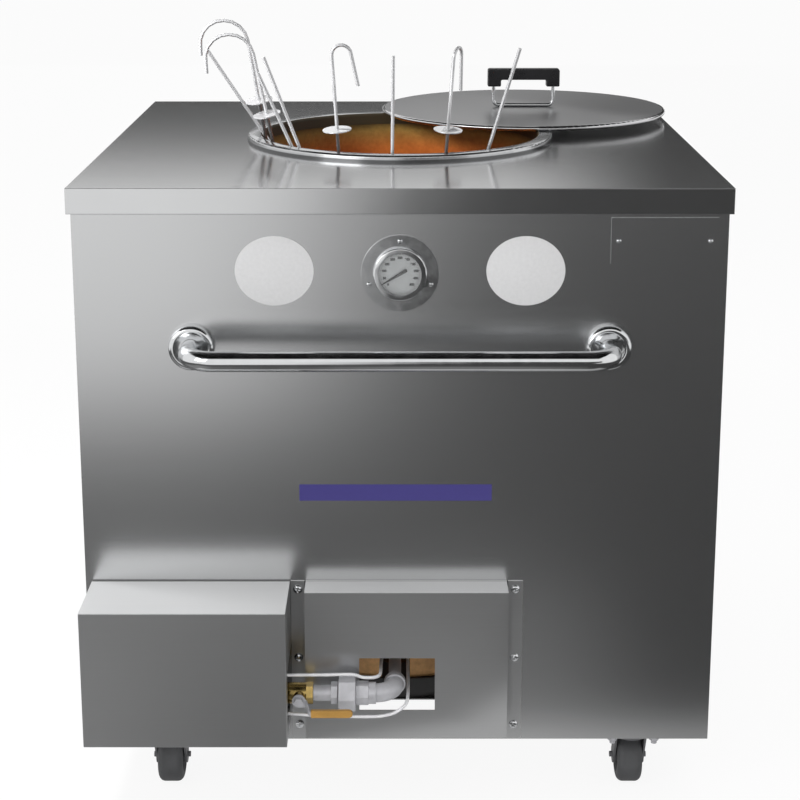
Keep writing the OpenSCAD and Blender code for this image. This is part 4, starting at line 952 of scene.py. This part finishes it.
class OVEN_OT_lid(bpy.types.Operator):
    """Lid with its pan, bail and grip"""

    bl_idname = "oven.lid"
    bl_label = "Lid"

    def execute(self, context):
        softened("lid_plate", "lid_sheet")
        softened("lid_pan", "lid_sheet", 0.0004, 2)
        softened("lid_bail", "bright_steel")
        softened("lid_grip", "grip_plastic", 0.0022, 3)
        return {"FINISHED"}


class OVEN_OT_casters(bpy.types.Operator):
    """Top plates, forks and wheels"""

    bl_idname = "oven.casters"
    bl_label = "Casters"

    def execute(self, context):
        softened("caster_plates", "zinc_plate", 0.0007, 2)
        for end in ("front", "rear"):
            for side in ("left", "right"):
                softened("fork_%s_%s" % (end, side), "fork_paint", 0.0009, 2)
                softened("wheel_%s_%s" % (end, side), "wheel_rubber", 0.0006, 2)
        return {"FINISHED"}


class OVEN_OT_tools(bpy.types.Operator):
    """Skewers and hooks"""

    bl_idname = "oven.tools"
    bl_label = "Skewers and hooks"

    def execute(self, context):
        for i in range(1, 6):
            softened("skewer_%d" % i, "rod_steel", 0.0006, 2)
        for i in range(1, 5):
            softened("hook_%d" % i, "rod_steel", sharp=50)
        return {"FINISHED"}


class OVEN_OT_labels(bpy.types.Operator):
    """Two bare round labels and the bare stripe"""

    bl_idname = "oven.labels"
    bl_label = "Bare labels"

    def execute(self, context):
        size = sizes()
        squash = Matrix.Diagonal((1, 1, size.label_squash, 1))
        for side, x in LABEL_PLACES:
            profile = [(0, 0), (size.label_radius, 0), (size.label_radius, FILM * 0.6)]
            profile += [(size.label_radius - FILM, FILM), (0, FILM)]
            disc = lathe("label_" + side, profile, (0, 0, 0), "-Y", 72)
            disc.data.transform(Matrix.Translation((x, PANEL_Y, LABEL_Z)) @ squash)
            settle(disc, "cabinet", "label_vinyl")
        shape = bmesh.new()
        made = bmesh.ops.create_cube(shape, size=1.0)
        spread = Matrix.Diagonal((size.stripe_width, FILM, size.stripe_height, 1))
        move = Matrix.Translation((STRIPE_X, PANEL_Y - FILM / 2, STRIPE_Z))
        bmesh.ops.transform(shape, matrix=move @ spread, verts=made["verts"])
        bmesh.ops.bevel(shape, geom=shape.edges[:], offset=FILM * 0.3, segments=1, affect="EDGES")
        settle(from_bmesh("bare_stripe", shape), "cabinet", "stripe_vinyl")
        return {"FINISHED"}


class OVEN_OT_stage(bpy.types.Operator):
    """Pale floor, soft light and the camera at the photograph's angle"""

    bl_idname = "oven.stage"
    bl_label = "Stage"

    def execute(self, context):
        scene = context.scene
        stage = studio()
        scene.view_settings.view_transform = "Standard"
        self.floor()
        self.world(stage)
        self.floor_card()
        self.rear_card()
        self.top_card()
        self.front_card()
        self.lamp("key_light", (-2.4, -2.6, 2.2), (0, -0.3, 0.5), 2.0, stage.key)
        self.lamp("top_light", (0.3, 0.2, 3.2), (0, 0, 0.8), 2.4, stage.fill)
        self.lamp("front_light", (0, -3.2, 0.7), (0, -0.4, 0.35), 1.6, stage.front, mirrored=False)
        self.lamp("mouth_light", (-0.8, -0.35, 1.36), (0.1, 0.16, 0.87), 0.3, stage.mouth, mirrored=False)
        self.lamp("bay_light", (0.25, -1.5, 0.3), (0.02, -0.3, 0.2), 0.3, stage.bay, mirrored=False)
        data = bpy.data.cameras.new("camera")
        data.lens = stage.lens
        data.sensor_width = 36
        data.shift_y = stage.shift
        data.clip_end = 100
        camera = bpy.data.objects.new("camera", data)
        camera.location = (0, DECK_LOW.y - stage.distance, stage.height)
        camera.rotation_euler = (math.pi / 2 - stage.tilt, 0, 0)
        scene.collection.objects.link(camera)
        scene.camera = camera
        return {"FINISHED"}

    def lamp(self, name, at, target, width, power, mirrored=True):
        data = bpy.data.lights.new(name, "AREA")
        data.shape = "RECTANGLE"
        data.size = data.size_y = width
        data.energy = power
        lamp = bpy.data.objects.new(name, data)
        lamp.location = at
        lamp.visible_glossy = mirrored
        lamp.rotation_euler = (Vector(target) - Vector(at)).to_track_quat("-Z", "Y").to_euler()
        bpy.context.scene.collection.objects.link(lamp)

    def seen(self, tree):
        """1 for camera, glossy and transmission rays."""
        path = tree.nodes.new("ShaderNodeLightPath")
        total = path.outputs["Is Camera Ray"]
        for label in ("Is Glossy Ray", "Is Transmission Ray"):
            total = math_node(tree, "MAXIMUM", total, path.outputs[label])
        return total

    def card(self, name, corners, strength):
        """A sheet with a soft pattern that only polished metal mirrors, like the boards of a photo studio."""
        mesh = bpy.data.meshes.new(name)
        mesh.from_pydata(corners, [], [(0, 1, 2, 3)])
        board = new_object(name, mesh)
        finish = Finish(name)
        at = finish.axes()
        glow = finish.node("ShaderNodeEmission")
        finish.join(strength(finish, at["X"], at["Y"], at["Z"]), glow.inputs["Strength"])
        finish.join(glow.outputs["Emission"], finish.tree.nodes["Material Output"].inputs["Surface"])
        mesh.materials.append(finish.material)
        for ray in ("camera", "diffuse", "transmission", "volume_scatter", "shadow"):
            setattr(board, "visible_" + ray, False)

    def floor_card(self):
        """Dark near the oven and to its right, bright far out and to its left."""

        def strength(finish, x, y, z):
            out = math_on(finish, "MAXIMUM", math_on(finish, "ABSOLUTE", x), math_on(finish, "ABSOLUTE", y))
            far = eased(finish, out, 1.85, 2.65, 0.0, 1.0)
            left = eased(finish, x, 0.2, -0.62, 0.0, 1.0)
            right = eased(finish, x, 1.7, 3.4, 0.0, 1.0)
            bright = math_on(finish, "MULTIPLY", far, math_on(finish, "MAXIMUM", left, right))
            dim = eased(finish, x, 0.6, -0.5, 0.06, 0.1)
            near = eased(finish, out, 0.71, 0.6, 0.0, 0.34)
            off = math_on(finish, "ABSOLUTE", math_on(finish, "SUBTRACT", x, 0.1))
            side = eased(finish, x, -0.15, -0.65, 0.0, 0.15)
            patches = math_on(finish, "ADD", side, eased(finish, off, 0.36, 0.08, 0.0, 0.12))
            close = math_on(finish, "MULTIPLY", eased(finish, out, 1.45, 1.05, 0.0, 1.0), patches)
            low = math_on(finish, "ADD", math_on(finish, "ADD", dim, near), close)
            return math_on(finish, "MAXIMUM", low, bright)

        self.card("floor_card", [(-9, -9, 0.003), (9, -9, 0.003), (9, 9, 0.003), (-9, 9, 0.003)], strength)

    def top_card(self):
        """Hangs dark over the oven, so that bars, rims and hooks have a dark upper edge."""
        corners = [(-2.2, -2.4, 2.5), (-2.2, 2.4, 2.5), (2.2, 2.4, 2.5), (2.2, -2.4, 2.5)]
        self.card("top_card", corners, lambda finish, x, y, z: eased(finish, y, -2.4, -2.1, 0.5, 0.006))

    def front_card(self):
        """Stands far in front: bright on the left and dark on the right, as the front panel mirrors it."""
        corners = [(-7, -6, 0), (-7, -6, 1.9), (7, -6, 1.9), (7, -6, 0)]
        self.card("front_card", corners, lambda finish, x, y, z: eased(finish, x, 0.55, -0.7, 0.07, 1.0))

    def rear_card(self):
        """Stands behind the oven at the height that the deck mirrors."""

        def strength(finish, x, y, z):
            high = eased(finish, z, 1.25, 1.5, 0.0, 1.0)
            left = eased(finish, x, 0.85, 0.2, 0.0, 1.0)
            top = eased(finish, z, 1.6, 2.0, 0.0, 1.0)
            bright = math_on(finish, "MAXIMUM", math_on(finish, "MULTIPLY", high, left), top)
            return math_on(finish, "ADD", math_on(finish, "MULTIPLY", bright, 0.95), 0.05)

        self.card("rear_card", [(-5, 2.5, 0.95), (5, 2.5, 0.95), (5, 2.5, 2.0), (-5, 2.5, 2.0)], strength)

    def floor(self):
        shape = bmesh.new()
        bmesh.ops.create_grid(shape, x_segments=1, y_segments=1, size=30)
        floor = from_bmesh("floor", shape)
        material = bpy.data.materials.new("pale_floor")
        material.use_nodes = True
        tree = material.node_tree
        shader = tree.nodes["Principled BSDF"]
        shader.inputs["Base Color"].default_value = (0.9, 0.9, 0.9, 1)
        shader.inputs["Roughness"].default_value = 0.8
        glow = tree.nodes.new("ShaderNodeEmission")
        glow.inputs["Color"].default_value = (1, 1, 1, 1)
        mix = tree.nodes.new("ShaderNodeMixShader")
        tree.links.new(math_node(tree, "MULTIPLY", self.seen(tree), FLOOR_GLOW), mix.inputs["Fac"])
        tree.links.new(shader.outputs["BSDF"], mix.inputs[1])
        tree.links.new(glow.outputs["Emission"], mix.inputs[2])
        tree.links.new(mix.outputs["Shader"], tree.nodes["Material Output"].inputs["Surface"])
        floor.data.materials.append(material)

    def world(self, stage):
        world = bpy.data.worlds.new("studio")
        world.use_nodes = True
        tree = world.node_tree
        sky = tree.nodes["Background"]
        sky.inputs["Color"].default_value = (1, 1, 1, 1)
        sky.inputs["Strength"].default_value = stage.sky
        back = tree.nodes.new("ShaderNodeBackground")
        back.inputs["Color"].default_value = (1, 1, 1, 1)
        back.inputs["Strength"].default_value = 1.0
        mix = tree.nodes.new("ShaderNodeMixShader")
        tree.links.new(self.seen(tree), mix.inputs["Fac"])
        tree.links.new(sky.outputs["Background"], mix.inputs[1])
        tree.links.new(back.outputs["Background"], mix.inputs[2])
        tree.links.new(mix.outputs["Shader"], tree.nodes["World Output"].inputs["Surface"])
        bpy.context.scene.world = world


class OVEN_PT_panel(bpy.types.Panel):
    """Lists the pieces of the oven"""

    bl_idname = "OVEN_PT_panel"
    bl_label = "Gas tandoor oven"
    bl_space_type = "VIEW_3D"
    bl_region_type = "UI"
    bl_category = "Tandoor"

    def draw(self, context):
        for operator in OPERATORS:
            self.layout.operator(operator.bl_idname)
        for group in (finishes(), sizes(), studio()):
            for name in group.bl_rna.properties.keys():
                if name not in ("name", "rna_type"):
                    self.layout.prop(group, name)


GROUPS = {"oven_finishes": OvenFinishes, "oven_sizes": OvenSizes, "oven_stage": OvenStage}
OPERATORS = [
    OVEN_OT_stage,
    OVEN_OT_cabinet,
    OVEN_OT_pot,
    OVEN_OT_burner,
    OVEN_OT_gas_line,
    OVEN_OT_covers,
    OVEN_OT_screws,
    OVEN_OT_gauge,
    OVEN_OT_towel_bar,
    OVEN_OT_lid,
    OVEN_OT_casters,
    OVEN_OT_tools,
    OVEN_OT_labels,
]


def register():
    for group in (*GROUPS.values(), *OPERATORS, OVEN_PT_panel):
        bpy.utils.register_class(group)
    for name, group in GROUPS.items():
        setattr(bpy.types.Scene, name, bpy.props.PointerProperty(type=group))


def unregister():
    for name in GROUPS:
        delattr(bpy.types.Scene, name)
    for group in reversed((*GROUPS.values(), *OPERATORS, OVEN_PT_panel)):
        bpy.utils.unregister_class(group)


def main():
    register()
    for operator in OPERATORS:
        family, call = operator.bl_idname.split(".")
        getattr(getattr(bpy.ops, family), call)()


if __name__ == "__main__":
    main()
